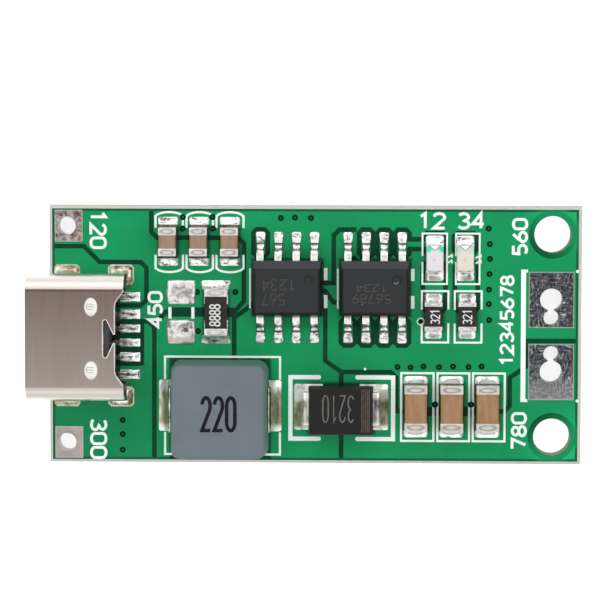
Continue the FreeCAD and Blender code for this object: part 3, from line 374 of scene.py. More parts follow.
def bow(x, y, rx, ry, start, end, steps=8):
    turns = [math.radians(start + (end - start) * n / steps) for n in range(steps + 1)]
    return [(x + rx * math.cos(t), y + ry * math.sin(t)) for t in turns]


STROKES = {
    "0": [bow(0.5, 1.5, 0.5, 0.5, 0, 180) + bow(0.5, 0.5, 0.5, 0.5, 180, 360) + [(1.0, 1.5)]],
    "1": [[(0.15, 1.6), (0.55, 2.0), (0.55, 0.0)]],
    "2": [bow(0.5, 1.5, 0.5, 0.5, 170, -30) + [(0.0, 0.0), (1.0, 0.0)]],
    "3": [bow(0.5, 1.52, 0.46, 0.48, 150, -80) + bow(0.48, 0.52, 0.52, 0.52, 80, -150)],
    "4": [[(0.75, 0.0), (0.75, 2.0), (0.0, 0.6), (1.0, 0.6)]],
    "5": [[(0.92, 2.0), (0.12, 2.0), (0.06, 1.15)] + bow(0.5, 0.6, 0.5, 0.6, 110, -140)],
    "6": [[(0.8, 2.0), (0.3, 1.3)] + bow(0.5, 0.55, 0.5, 0.55, 160, 520, 14)],
    "7": [[(0.0, 2.0), (1.0, 2.0), (0.4, 0.0)]],
    "8": [bow(0.5, 1.5, 0.42, 0.5, -90, 270, 12), bow(0.5, 0.5, 0.5, 0.5, 90, 450, 12)],
    "9": [bow(0.5, 1.45, 0.5, 0.55, -20, 340, 14) + [(0.7, 0.7), (0.2, 0.0)]],
}


def numerals(shape, text, x, y, width, height, turn, stroke, low, high, gap=0.35):
    """Numerals centred on a point. Width and height are those of the whole line of them."""
    pitch = 1.0 + gap
    unit = width / (len(text) * pitch - gap)
    turned = Matrix.Rotation(math.radians(turn), 2)
    for number, sign in enumerate(text):
        for order, line in enumerate(STROKES[sign]):
            spots = [turned @ Vector(((number * pitch + u) * unit - width / 2, v / 2 * height - height / 2))
                     for u, v in line]
            ribbon(shape, [(x + spot.x, y + spot.y) for spot in spots], stroke, low, high,
                   rise=0.005 * order + 0.002 * (number % 2))


# Materials

def mottled(name, dark, light, scale, roughness=0.5, grain=20.0, depth=0.01, specular=None):
    """A surface whose colour wanders between two tones, with a fine grain in its relief."""
    mat, *_ = start(name)
    mat.colour = mat.ramp(mat.noise(scale, 4.0), [(0.3, dark), (0.7, light)])
    fine = mat.noise(grain, 2.0)
    mat.finish(fine * 0.16 + (roughness - 0.08), 0.0, fine, 0.4, depth, specular)


def add_border(mat, width):
    """A pale line round a land, given as a share of its width."""
    line = most(*[abs(value - 0.5) for value in mat.share()]).step(0.5 - width, 0.5 - width / 2)
    mat.tint(line * 0.6, "#c2c6b8")


def metal(name, tones, scale=2.5, roughness=0.3, grain=9.0, depth=0.02, strength=0.5,
          stretch=(1.0, 1.0, 1.0), metallic=1.0, border=0.0):
    """Tin, solder or steel whose tone is patchy and whose skin is lumpy."""
    mat, *_ = start(name)
    patch = mat.noise(scale, 5.0, 0.6, 0.6, stretch)
    mat.colour = mat.ramp(patch, tones)
    if border:
        add_border(mat, border)
    lumps = mat.noise(grain, 3.0, 0.6, stretch=stretch)
    mat.finish(patch * 0.25 + (roughness - 0.12), metallic, lumps, strength, depth)


def near_parts(x, y, names, reach):
    """1 against the outline of the named parts, falling to 0 at the given distance from it, mm."""
    near = []
    for name in names:
        low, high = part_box(name)
        spans = [abs(value - (a + b) / 2 / MM) - (b - a) / 2 / MM
                 for value, a, b in ((x, low.x, high.x), (y, low.y, high.y))]
        near.append(most(*spans).step(reach, 0.0))
    return most(*near)


def add_shadows(mat, x, y):
    """Painted shade: the mask is darker right against the parts, behind the receptacle and beside it."""
    chips = [name for name in NODES if name.endswith(("_substrate", "_base")) and name != "lamp_2_base"]
    chips += [name for name in matching(NODES, "*put_capacitor_*") if not name.endswith("_ends")]
    large = ["switch_package", "controller_package", "diode_body", "inductor_body"]
    for names, reach, depth in ((chips, 0.26, 0.8), (large, 0.2, 0.85)):
        near = near_parts(x, y, names, reach) ** 0.7
        mat.tint(near * depth, "#081e14")
    # Painted shade in the strip behind the receptacle
    far = abs(y - PORT_Y)
    strip = x.step(-13.72, -13.8) * far.step(3.3, 3.2)
    mat.tint(strip * 0.8, "#181a16")
    # Painted shade, olive, on the board beside the receptacle's rear
    beside = x.step(-12.95, -13.1) * x.step(-15.0, -14.9) * far.step(3.25, 3.35) * far.step(4.3, 4.1)
    mat.tint(beside * 0.6, "#3c422c")


def laminate_material():
    """Solder mask on both faces, bare glass laminate on the snapped edges and in the holes."""
    mat, x, y, _ = start("laminate_finish")
    tone = mat.noise(1.6)
    under = mat.ramp(tone, [(0.3, "#14804c"), (0.7, "#1a8e56")])
    weave = mat.noise(2.2, 4.0, stretch=(1.0, 1.0, 9.0))
    snapped = mat.ramp(weave, [(0.3, "#babcb0"), (0.5, "#cdcec6"), (0.75, "#dcddd7")])
    drilled = mat.ramp(weave, [(0.3, "#928778"), (0.7, "#c4bcae")])
    # Round the mounting holes the mask is paler than in a channel, and the drill has smeared the wall
    mat.colour = mat.ramp(tone, [(0.3, "#083a25"), (0.7, "#0d482e")])
    walls = []
    for side in (1, -1):
        away = oval(x, y, MOUNT_X, side * MOUNT_Y, 1.0, 1.0)
        walls.append(away.step(1.46, 1.44))
        # Painted shade: darkest on the side that is turned to the board's middle
        inward = (y - side * MOUNT_Y) * (-0.8 * side) - (x - MOUNT_X) * 0.6
        mat.tint(away.step(2.1, 1.85), mat.mix(inward.step(-0.6, 1.5), "#148e58", "#085432"))
    # The strip outside the copper is thin and catches the light from the bare rim
    mat.tint(most(abs(x).step(18.36, 18.46), abs(y).step(8.7, 8.78)) * 0.55, "#187048")
    add_shadows(mat, x, y)
    up, down = (mat.facing()[2].step(side * 0.9, side * 0.95) for side in (1, -1))
    mat.colour = mat.mix(up, mat.mix(most(*walls), snapped, drilled), mat.colour)
    mat.tint(down, under)
    mat.finish(most(up, down) * -0.4 + 0.78, 0.0, weave, 0.25, 0.02, 0.08)


def mask_material():
    """Green solder mask over copper: smooth and glossy, with a painted highlight where it turns down."""
    mat, x, y, _ = start("masked_copper_finish")
    tone = mat.noise(0.3)
    fine = mat.noise(5.0)
    base = mat.ramp(tone, [(0.3, "#009156"), (0.7, "#089c5f")])
    bright = mat.ramp(tone, [(0.3, "#0aac6a"), (0.7, "#14ba76")])
    deep = mat.ramp(tone, [(0.3, "#048650"), (0.7, "#089057")])
    # Painted light: brighter at the two output corners. Deeper in the middle of the long sides
    corner = x.step(13.5, 18.5) * abs(y - 0.3).step(5.0, 9.0)
    mat.colour = mat.mix(mat.noise(0.16, 1.0).step(0.45, 0.7), base, deep)
    mat.tint(corner, bright)
    # Painted shade: darker at the receptacle's end of the board, towards the near side
    port_shade = x.step(-9.0, -14.0) * y.step(-2.0, -5.0)
    mat.tint(port_shade * 0.75, "#067c4c")
    # Painted highlight where the mask turns down over the copper's edges
    edge = mat.facing()[2].step(0.97, 0.6)
    mat.tint(edge * 0.55, "#6ece9a")
    add_shadows(mat, x, y)
    mat.finish(fine * 0.12 + 0.3, 0.0, fine, 0.12, 0.01, 0.16)


def shell_material():
    """Brushed steel, browner towards the far side, with painted highlights on the rolled edges and dimples.
    """
    mat, x, y, z = start("port_steel_finish")
    brush = mat.noise(1.0, 6.0, 0.65, stretch=(4.0, 0.2, 1.5))
    drift = mat.noise(1.0, 2.0, stretch=(0.5, 0.1, 0.5))
    # Painted reflection: darker and browner towards the far side
    low = y.step(4.2, -4.4)
    dark = mat.mix(low, "#74615a", "#a89e95")
    light = mat.mix(low, "#86756d", "#b8afa6")
    mat.colour = mat.mix(brush, dark, light)
    mat.tint(drift * 0.25, "#70625b")
    # The flat roof is shaded by its true plane, and only the bends by their blended facets
    blended, true = (mat.new("NewGeometry", {}, kind) for kind in ("Normal", "True Normal"))
    normal = mat.mix(mat.parts(true)[2].step(0.9985, 0.9995), blended, true)
    ahead, across, up = mat.parts(normal)
    # Painted highlights on the rolled sides, paler on the far one, and a painted green reflection on the
    # upright walls
    rolled = up.step(0.988, 0.968)
    far = across.step(0.05, 0.15)
    mat.tint(rolled, mat.mix(far, "#c8c1b8", "#ded5ce"))
    mat.tint(up.step(0.68, 0.58) * 0.75, "#d4dbd2")
    # Painted shade in the creases where the roof turns into its rolled sides, on the far side
    crease = up.step(0.9995, 0.998) * up.step(0.972, 0.986)
    mat.tint(crease * far * 0.75, "#5c4a42")
    # Painted shade on what shows of the inside behind the roof, and a painted highlight on the cut ends
    inside = up.step(0.15, 0.35) * z.step(3.6, 3.2) * x.step(-14.4, -14.1)
    mat.tint(inside * 0.9, "#2c3226")
    mat.tint(ahead.step(0.25, 0.5) * z.step(3.2, 3.6), "#f6f0e2")
    roof = z.step(4.3, 4.5)
    for side in (1, -1):
        middle = side * 2.22 + PORT_Y
        away = oval(x, y, DIMPLE_X, middle, 0.47, 0.66)
        # Painted highlight in each dimple, with painted shade on its near part
        shine = mat.mix((y - middle).step(-0.3, -0.6) * 0.35, "#fffcf6", "#cec4ba")
        mat.tint(away.step(1.02, 0.9) * roof, shine)
        # Three short press marks across the dimple and one along them
        for u, v, wide, long in ((-0.04, 0.19, 0.3, 0.035), (-0.04, 0.02, 0.3, 0.035),
                                 (-0.04, -0.17, 0.3, 0.035), (-0.3, 0.02, 0.035, 0.24)):
            dash = oval(x, y, DIMPLE_X + u, middle + v, wide, long)
            mat.tint(dash.step(1.1, 0.7) * roof * 0.6, "#686056")
    # The bends are worn to a satin skin
    satin = rolled * up.step(0.45, 0.6) * up.step(0.0, 0.1)
    mat.finish(brush * 0.12 + 0.26, satin * -0.6 + 1.0, brush, 0.12, 0.01, normal=normal)


def lead_material():
    """Tinned gull leads: bright and lumpy, with painted dark reflections in a band where each turns down and
    at the toe.
    """
    mat, _, y, _ = start("lead_finish")
    patch = mat.noise(3.2, 3.0, 0.55, 0.4)
    mat.colour = mat.ramp(patch, [(0.28, "#a09a94"), (0.42, "#e8e4de"), (0.6, "#fefcf9")])
    away = abs(y - PACKAGE_Y) + (mat.noise(2.6, 2.0) * 0.3 - 0.15)
    # Painted dark reflection in a band where each lead turns down and in one at its toe
    for centre, reach in ((2.68, 0.12), (3.06, 0.09)):
        band = abs(away - centre).step(reach, reach * 0.2)
        mat.tint(band * 0.8, "#3e3c36")
    # Painted shadow where the near leads leave the package
    under = y.step(1.24, 1.34) * y.step(3.0, 2.0)
    mat.tint(under * 0.75, "#46443e")
    # Painted shade on the upright faces
    mat.tint(mat.facing()[2].step(0.3, 0.1) * 0.6, "#5a5c54")
    mat.finish(0.3, 1.0, mat.noise(3.5, 2.0), 0.4, 0.03)


def plating_material(name, dark, light, near_end=0.13, reach=0.085, depth=0.7):
    """Fired end plating: satin tin, crowned, with a darker line round an oval near each end and painted shade
    on its flanks.
    """
    mat, *_ = start(name)
    u, v = mat.share()
    patch = mat.noise(2.4, 4.0)
    mat.colour = mat.ramp(patch, [(0.3, dark), (0.65, light)])
    for centre in (near_end, 1.0 - near_end):
        away = oval(u, v, 0.5, centre, 0.38, reach)
        line = away.step(1.15, 0.95) * away.step(0.55, 0.85)
        mat.tint(line * depth, "#7e7874")
    # Painted shade on the upright flanks
    ahead, _, up = mat.facing()
    shaded_flank = up.step(0.75, 0.3) * abs(ahead).step(0.3, 0.7)
    mat.tint(shaded_flank * 0.85, "#706052")
    mat.finish(patch * 0.2 + 0.28, 1.0, mat.noise(5.0), 0.25, 0.02)


def ceramic_material(name, dark, light, edge):
    """Barium titanate body: warm brown, streaked along its length, darker at its long edges."""
    mat, *_ = start(name)
    streak = mat.noise(1.2, stretch=(3.0, 0.5, 1.0))
    mat.colour = mat.ramp(streak, [(0.3, dark), (0.7, light)])
    side = abs(mat.share()[0] - 0.5).step(0.36, 0.5)
    mat.tint(side * 0.5, edge)
    mat.finish(0.5, 0.0, mat.noise(20.0, 2.0), 0.25, 0.008, 0.3)


def moulding_material(name, base, bevel, side, speck, level, rim):
    """Filled epoxy: dull black with a fine speckle; painted light on the far slope, painted shade on other
    slopes, ends and rims.
    """
    mat, *_ = start(name)
    fine = mat.noise(26.0, 3.0, 0.7)
    mat.colour = mat.mix(fine, base, speck)
    mat.tint(mat.noise(0.9, 2.0) * 0.2, "#24262a")
    _, across, up = mat.facing()
    u, v = mat.share()
    # Painted shade on the rims and slopes, and painted light on the far slope
    edge = most(abs(u - 0.5).step(0.44, 0.458), v.step(0.085, 0.06)) * rim
    slope = up.step(0.97, 0.75)
    mat.tint(most(slope, edge), side)
    mat.tint(slope * across.step(0.3, 0.6), bevel)
    mat.finish(fine * 0.2 + level, 0.0, fine, 0.3, 0.012, 0.2)


def lamp_lens_material(name, body, chip_x, glow):
    """Clear resin over a white cup: pale, with two blue-green glints at its far corners."""
    mat, x, y, _ = start(name)
    tone = mat.noise(1.4, 2.0)
    mat.colour = mat.mix(tone * 0.2, body, "#e2dcda")
    if glow < 1:
        mat.tint(y.step(4.95, 4.6) * 0.8, "#decebe")
    for side in (-1, 1):
        away = oval(x, y, chip_x + 0.06 + 0.46 * side, 6.16, 0.26, 0.27)
        mat.tint(away.step(1.25, 0.6) * glow, "#34e2ba")
        speck = oval(x, y, chip_x + 0.32 * side, 4.56, 0.14, 0.05)
        mat.tint(speck.step(1.3, 0.7) * 0.9, "#60423e")
    chip = oval(x, y, chip_x, 5.36, 0.12, 0.12)
    mat.tint(chip.step(1.2, 0.4) * 0.4, "#b0a09e")
    # Solder has crept over the far end in the form of a V
    vee = y - 6.05 - abs(x - (chip_x + 0.04)) * 0.85
    mat.tint(vee.step(0.0, 0.05), "#fcfaf8")
    mat.tint(abs(vee + 0.02).step(0.09, 0.03) * 0.55, "#846864")
    mat.finish(0.22, 0.0, tone, 0.1, 0.01, 0.3)


def pad_material(name, wear):
    """Big dull tinned pad: dark, with streaks and sparkles. A worn one is grey and even at its near end."""
    mat, _, y, _ = start(name)
    level, upright = (mat.noise(1.0, 4.0, 0.8, 0.4, stretch=(u, v, 3.0))
                      for u, v in ((2.2, 6.5), (6.5, 2.4)))
    streak = mat.mix(mat.noise(0.55, 2.0).step(0.42, 0.58), level, upright)
    sparkling = [(0.42, "#222328"), (0.5, "#4a4c50"), (0.57, "#707276"), (0.66, "#e2e2e6")]
    plain = mat.ramp(streak, [(0.38, "#686868"), (0.52, "#828382"), (0.63, "#b2b3b2")])
    low = (y + mat.noise(1.0, 2.0) * 1.2).step(-1.9, -3.1)
    mat.colour = mat.mix(low * wear, mat.ramp(streak, sparkling), plain)
    add_border(mat, 0.025)
    mat.finish(0.42, 0.75, streak, 0.4, 0.01)


def joint_material(name, middle, half, tones):
    """Solder along a wide terminal: painted highlights at both of its ends, a darker painted reflection
    between.
    """
    mat, _, y, _ = start(name)
    patch = mat.noise(1.0, 3.0, 0.55, 0.5, stretch=(2.4, 0.8, 1.0))
    dull = mat.ramp(patch, tones)
    bright = mat.ramp(patch, [(0.3, "#d6d2ca"), (0.5, "#fefcf8")])
    # Painted highlights towards both ends, a darker painted reflection in the middle
    away = abs(y - middle + patch * 0.3)
    mat.colour = mat.mix(away.step(half * 0.58, half * 0.82), dull, bright)
    mat.finish(0.3, 0.6, mat.noise(1.6, 1.0), 0.4, 0.05)


def capacitor_joint_material():
    """Solder at the output capacitors: bright corners and rim round a hollow before each end, with a painted
    reflection.
    """
    mat, x, y, _ = start("capacitor_joint_finish")
    patch = mat.noise(1.6, 3.0, 0.6, 0.5)
    mat.colour = mat.ramp(patch, [(0.34, "#969490"), (0.44, "#e8e6e2"), (0.58, "#fdfbf8")])
    # Painted grey-green reflection in the hollow before each end, edged by a darker painted arc
    near = least(*[abs(x - middle) for middle in OUTPUT_ROW])
    beyond = abs(y - OUTPUT_Y) - 1.62
    away = oval(near, beyond, 0.0, 0.06, 0.62, 0.3) + (patch * 0.8 - 0.4)
    mat.tint(away.step(1.05, 0.85) * 0.7, "#a4aca4")
    line = away.step(1.12, 0.98) * away.step(0.82, 0.94)
    mat.tint(line * 0.6, "#6c746c")
    mat.finish(0.3, 0.7, mat.noise(1.8, 1.0), 0.4, 0.05)


def lamp_joint_material():
    """Solder at the lamps and their resistors: painted highlights at the corners, painted shade in a greyer
    middle.
    """
    mat, x, *_ = start("lamp_joint_finish")
    patch = mat.noise(2.6, 3.0, 0.6, 0.5)
    dull = mat.ramp(patch, [(0.36, "#52504c"), (0.44, "#989692"), (0.6, "#c0beba")])
    bright = mat.ramp(patch, [(0.36, "#c4c2be"), (0.5, "#fcfaf7")])
    # Painted highlights at the sides of each joint, painted shade in the middle
    near = least(*[abs(x - middle) for middle in (8.42, 10.68)])
    mat.colour = mat.mix(near.step(0.3, 0.48), dull, bright)
    mat.finish(0.3, 0.8, mat.noise(1.8, 1.0), 0.4, 0.04)


def add_thread(mat, x, y):
    """A dark, broken thread along each of the receptacle's tails, and grey streaks near its root."""
    near = least(*[abs(y - row) for row in CONTACT_ROWS])
    thread = mat.noise(1.0, 3.0, 0.6, 0.4, stretch=(2.4, 4.0, 1.0))
    mark = (near + thread * 0.7).step(0.49, 0.36) * x.step(-12.4, -12.75)
    mat.tint(mark * 0.9, "#2c2828")
    streak = mat.noise(1.0, 2.0, stretch=(1.0, 7.0, 1.0))
    shade = x.step(-13.05, -13.4) * streak.step(0.56, 0.44)
    mat.tint(shade * 0.8, "#464640")


def contact_material():
    """Tinned tails: darkened by painted shadow where they leave the moulding, bright on the board."""
    mat, x, y, _ = start("contact_finish")
    patch = mat.noise(2.6)
    mat.colour = mat.ramp(patch, [(0.3, "#b0aaa0"), (0.6, "#f6f4ee")])
    add_thread(mat, x, y)
    # Painted shadow where the tails leave the moulding under the shell's rear edge
    mat.tint(x.step(-13.66, -13.86), mat.ramp(patch, [(0.3, "#22201c"), (0.65, "#4e4b42")]))
    mat.finish(0.32, 0.9, patch, 0.2, 0.02)


def contact_joint_material():
    """Solder over the receptacle's tails."""
    mat, x, y, _ = start("contact_joint_finish")
    patch = mat.noise(2.6, 3.0, 0.6, 0.5)
    mat.colour = mat.ramp(patch, [(0.3, "#aaa8a6"), (0.46, "#f0efee"), (0.6, "#fefdfc")])
    add_thread(mat, x, y)
    mat.finish(0.28, 0.95, mat.noise(2.2, 1.0), 0.4, 0.04)


def core_material():
    """Pressed iron powder under blue-grey lacquer. Its upright sides carry a painted green reflection of the
    board.
    """
    mat, _, _, z = start("inductor_finish")
    fine = mat.noise(22.0, 2.0)
    mat.colour = mat.mix(mat.noise(0.5, 2.0), "#676f77", "#717981")
    # Painted reflection of the green board on the sloped sides, strongest low down
    slope = mat.facing()[2].step(0.96, 0.5)
    mat.tint(slope, "#627874")
    mat.tint(slope * z.step(4.3, 2.4) * 0.7, "#348060")
    mat.finish(fine * 0.2 + 0.5, 0.0, fine, 0.35, 0.012, 0.25)


def cushion_material():
    """Solder on a bare land: white and wrinkled, with a few sooty smudges and a duller near edge."""
    mat, x, y, _ = start("cushion_finish")
    patch = mat.noise(1.8, 4.0, 0.65, 0.6)
    mat.colour = mat.ramp(patch, [(0.32, "#78726e"), (0.45, "#c8c4be"), (0.6, "#faf8f5")])
    for cx, cy, rx, ry, depth in ((-9.1, 0.33, 0.34, 0.18, 0.9), (-8.75, 0.5, 0.16, 0.14, 0.6),
                                  (-8.95, 3.0, 0.42, 0.4, 0.5), (-9.6, 2.75, 0.3, 0.3, 0.3)):
        away = oval(x, y, cx, cy, rx, ry) + (patch * 1.8 - 0.9)
        mat.tint(away.step(1.15, 0.55) * depth, "#484244")
    near = (y + patch * 0.3).step(0.1, -0.1)
    mat.tint(near * 0.65, "#c4b8ae")
    mat.finish(0.3, 0.6, mat.noise(2.2, 2.0), 0.4, 0.04)


def make_materials():
    olive = [(0.32, "#7a7e5e"), (0.48, "#9c9b84"), (0.62, "#c8c6ba")]
    grey = [(0.36, "#545450"), (0.48, "#8c8b86"), (0.6, "#cecdc8")]
    laminate_material()
    mask_material()
    metal("input_plus_tin", [(0.3, "#54403a"), (0.45, "#8c7c77"), (0.62, "#c0b8b4")], 2.6, 0.32, 12.0,
          border=0.04)
    metal("input_minus_tin", [(0.3, "#a49e98"), (0.7, "#bab2ac")], 1.0, 0.35, 12.0, 0.006, border=0.04)
    pad_material("output_plus_tin", 0.992)
    pad_material("output_minus_tin", 0.0)
    metal("slot_land_tin", [(0.3, "#a89c80"), (0.5, "#cec8bc"), (0.7, "#eae7e0")], 2.0)
    metal("solder_finish", [(0.3, "#464440"), (0.4, "#96938e"), (0.47, "#e2e0db"), (0.58, "#fcfaf7")], 2.6,
          0.3, 1.8, 0.05, 0.4, (1.0, 1.5, 1.0), 0.7)
    metal("solder_shade_finish", [(0.35, "#34342e"), (0.6, "#6e6c64")], 2.2, 0.4, 2.4, 0.03)
    joint_material("diode_joint_finish", -5.42, 1.3, olive)
    joint_material("inductor_joint_finish", INDUCTOR[1], 1.8, olive)
    joint_material("diode_strap_finish", DIODE[1], 1.2, grey)
    contact_joint_material()
    lamp_joint_material()
    capacitor_joint_material()
    cushion_material()
    # The cut edges' pale tone is a painted highlight
    metal("cut_edge_finish", [(0.3, "#e2dacc"), (0.7, "#f8f2e6")], 2.0)
    metal("shell_solder_finish", [(0.34, "#846c38"), (0.48, "#b4aa92"), (0.62, "#e8e4dc")], 1.6, 0.28, 2.6,
          0.05, 0.7)
    shell_material()
    metal("mid_plate_steel", [(0.3, "#a09c96"), (0.7, "#bebab4")], 1.0, 0.3, 8.0, 0.01)
    mottled("port_insulator_finish", "#2c2c30", "#424348", 2.0, 0.45, 18.0)
    contact_material()
    moulding_material("package_finish", "#262728", "#3e4043", "#0c0c0d", "#343536", 0.55, 0.85)
    moulding_material("diode_finish", "#111112", "#282422", "#0e0c0c", "#1d1d1e", 0.5, 0.5)
    lead_material()
    metal("terminal_finish", [(0.3, "#7a7a60"), (0.46, "#bebcac"), (0.6, "#faf8f3")], 1.1, 0.22, 2.0, 0.04,
          0.6)
    core_material()
    ceramic_material("input_capacitor_finish", "#8f765d", "#a0876d", "#785432")
    ceramic_material("output_capacitor_finish", "#967250", "#a98361", "#845c3c")
    plating_material("input_plating_finish", "#cec8c2", "#e8e4df")
    plating_material("output_plating_finish", "#c4beb4", "#ded9d1", 0.095, 0.055)
    plating_material("resistor_plating_finish", "#cecac4", "#ece9e4", 0.07, 0.06, 0.4)
    mottled("resistor_side_finish", "#786858", "#a09280", 3.0, 0.6)
    mottled("resistor_top_finish", "#24211e", "#342e29", 2.4, 0.35, 18.0, specular=0.2)
    mottled("lamp_base_finish", "#d6d6cc", "#e8e8e0", 2.0)
    lamp_lens_material("lamp_1_resin", "#e2dfe3", 8.41, 1.0)
    lamp_lens_material("lamp_2_resin", "#e0dbce", 10.55, 0.35)
    mottled("white_print", "#f0fcf6", "#fafdfb", 1.8, 0.6, 14.0, 0.006)


# Finish, rounding (mm) and its segments for the solids that are kept. The first pattern that fits counts
DRESS = (
    ("circuit_board", "laminate_finish"), ("input_plus_land", "input_plus_tin"),
    ("input_minus_land", "input_minus_tin"), ("output_plus_land", "output_plus_tin"),
    ("output_minus_land", "output_minus_tin"), ("port_slot_lands", "slot_land_tin"),
    ("usb_shell", "port_steel_finish"), ("usb_mid_plate", "mid_plate_steel", 0.02),
    ("usb_insulator", "port_insulator_finish", 0.03), ("usb_contacts", "contact_finish", 0.03),
    ("*_package", "package_finish", 0.05), ("switch_leads", "lead_finish", 0.04),
    ("controller_leads", "lead_finish", 0.04), ("diode_body", "diode_finish", 0.06),
    ("diode_*_lead", "diode_strap_finish", 0.04), ("inductor_body", "inductor_finish", 0.12),
    ("inductor_*_terminal", "terminal_finish", 0.05), ("shell_solder", "shell_solder_finish", 0.03),
    ("copper_*", "masked_copper_finish", 0.03, 1),
    ("input_capacitor_*_ends", "input_plating_finish", 0.09, 3),
    ("output_capacitor_*_ends", "output_plating_finish", 0.09, 3),
    ("input_capacitor_*", "input_capacitor_finish", 0.03),
    ("output_capacitor_*", "output_capacitor_finish", 0.03), ("*_substrate", "resistor_side_finish", 0.02),
    ("*_coating", "resistor_top_finish", 0.02), ("sense_resistor_ends", "resistor_plating_finish", 0.04),
    ("lamp_*_ends", "resistor_plating_finish", 0.03), ("lamp_*_base", "lamp_base_finish", 0.02),
    ("lamp_1_lens", "lamp_1_resin", 0.1, 3), ("lamp_2_lens", "lamp_2_resin", 0.1, 3),
)


def split_creases(item, angle):
    item.modifiers.new("creases", "EDGE_SPLIT").split_angle = math.radians(angle)


def dress(name, finish, rounding=0.0, segments=2):
    item = NODES[name]
    item.data.materials.clear()
    item.data.materials.append(bpy.data.materials[finish])
    for face in item.data.polygons:
        face.material_index = 0
        face.use_smooth = True
    item.modifiers.new("weld", "WELD").merge_threshold = 1e-7
    if not rounding:
        split_creases(item, CREASE)
        return
    whole = item.modifiers.new("whole_planes", "DECIMATE")
    whole.decimate_type = "DISSOLVE"
    whole.angle_limit = math.radians(0.6)
    bevel = item.modifiers.new("round", "BEVEL")
    bevel.width = rounding * MM
    bevel.segments = segments
    bevel.limit_method = "ANGLE"
    bevel.angle_limit = math.radians(CREASE)
    item.modifiers.new("even", "WEIGHTED_NORMAL").keep_sharp = False


def dress_nodes():
    for name in NODES:
        for pattern, *look in DRESS:
            if matching([name], pattern):
                dress(name, *look)
                break


def shell_edges():
    """The sheared edges of the receptacle's roof, bright with a painted highlight and a little rolled, at its
    rear and its window.
    """
    source = bmesh.new()
    source.from_mesh(NODES["usb_shell"].data)
    bmesh.ops.remove_doubles(source, verts=source.verts, dist=1e-7)
    shape = bmesh.new()
    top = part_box("usb_shell")[1].z
    for edge in source.edges:
        ends = [v.co for v in edge.verts]
        walls = [face for face in edge.link_faces if abs(face.normal.z) < 0.3]
        on_roof = all(p.z >= top - 0.02 * MM and p.x >= -15 * MM for p in ends)
        if not on_roof or len(edge.link_faces) != 2 or len(walls) != 1:
            continue
        out = walls[0].normal.normalized() * MM
        # How far out and how far down each line of the rolled edge lies, mm
        roll = ((0.0, -0.002), (0.05, -0.012), (0.085, -0.06), (0.0, -0.1))
        sheet(shape, [[shape.verts.new(end + out * away + Vector((0, 0, down * MM))) for away, down in roll]
                      for end in ends])
    source.free()
    piece("port_cut_edges", shape, ["cut_edge_finish"])


# Solder joints, each a smooth fillet from a land up to the metal that it holds

STATIONS = (0.0, 0.05, 0.11, 0.18, 0.27, 0.37, 0.48, 0.6, 0.72, 0.82, 0.9, 0.95, 0.98, 1.0)
ACROSS = 14
FILM = 0.03  # thickness of the solder where it thins out, mm


def solder_joint(shape, chance, place, ends, rise, width, corner=0.15, flare=0.0, notch=0.0, hollow=2.2,
                 under=1.0, shade=0.0, lumpy=0.1):
    """Place is x, y and turn. Local +V runs from under the component (inner) past its end (face) to the
    land's end (outer). The corners are rounded, flare widens the outer end and notch hollows it."""
    x, y, turn = place
    inner, face, outer = ends
    turned = Matrix.Rotation(math.radians(turn), 2)
    reach = outer - face
    stations = [(inner, -1.0, under), (face - 0.012, -0.01, under)]
    for t in STATIONS:
        left = (1 - t) * reach
        plan = 1.0 + flare * (t - 0.5)
        if left < corner:
            plan -= 2 * (corner - math.sqrt(corner ** 2 - (corner - left) ** 2)) / width
        stations.append((face + reach * t, t, plan))
    lumps = [(chance.uniform(-0.8, 0.8), chance.uniform(0.1, 0.95), chance.uniform(-1, 1)) for _ in range(3)]
    rows = []
    for v, t, plan in stations:
        row = []
        for k in range(ACROSS + 1):
            u = -1 + 2 * k / ACROSS
            lift = (1 - abs(u) ** 6) ** 0.5
            height = FILM * (0.35 + 0.65 * lift)
            along = v
            if t >= 0:
                bulge = sum(size * math.exp(-((u - a) / 0.5) ** 2 - ((t - b) / 0.3) ** 2)
                            for a, b, size in lumps)
                height += rise * (1 - t) ** hollow * (0.5 + 0.5 * lift)
                height += lumpy * min(rise, 0.3) * bulge * lift * min(1.0, 3 * (1 - t))
                height += min(0.05, 0.3 * rise) * lift * min(1.0, 6 * (1 - t)) ** 0.5
                along -= notch * (1 - u * u) * t ** 3
            spot = turned @ Vector((width / 2 * plan * u, along))
            row.append(point(shape, x + spot.x, y + spot.y, COPPER_LEVEL + max(height, 0.004)))
        rows.append(row)
    floor = [[on_copper(shape, row[end]) for end in (0, -1)] for row in rows]
    # Faces just past the component's end take the second finish, a painted shade
    for number, (first, second) in enumerate(zip(rows, rows[1:])):
        for k in range(ACROSS):
            made = shape.faces.new((first[k], first[k + 1], second[k + 1], second[k]))
            made.material_index = int(number >= 1 and stations[number][1] < shade)
    for (a, b), (c, d), first, second in zip(floor, floor[1:], rows, rows[1:]):
        shape.faces.new((a, first[0], second[0], c))
        shape.faces.new((first[-1], b, d, second[-1]))
    shape.faces.new([floor[0][1]] + list(reversed(rows[0])) + [floor[0][0]])
    shape.faces.new([floor[-1][0]] + rows[-1] + [floor[-1][1]])


def on_copper(shape, vert):
    """A new point straight below one, on the copper."""
    return shape.verts.new(Vector((vert.co.x, vert.co.y, COPPER_LEVEL * MM)))


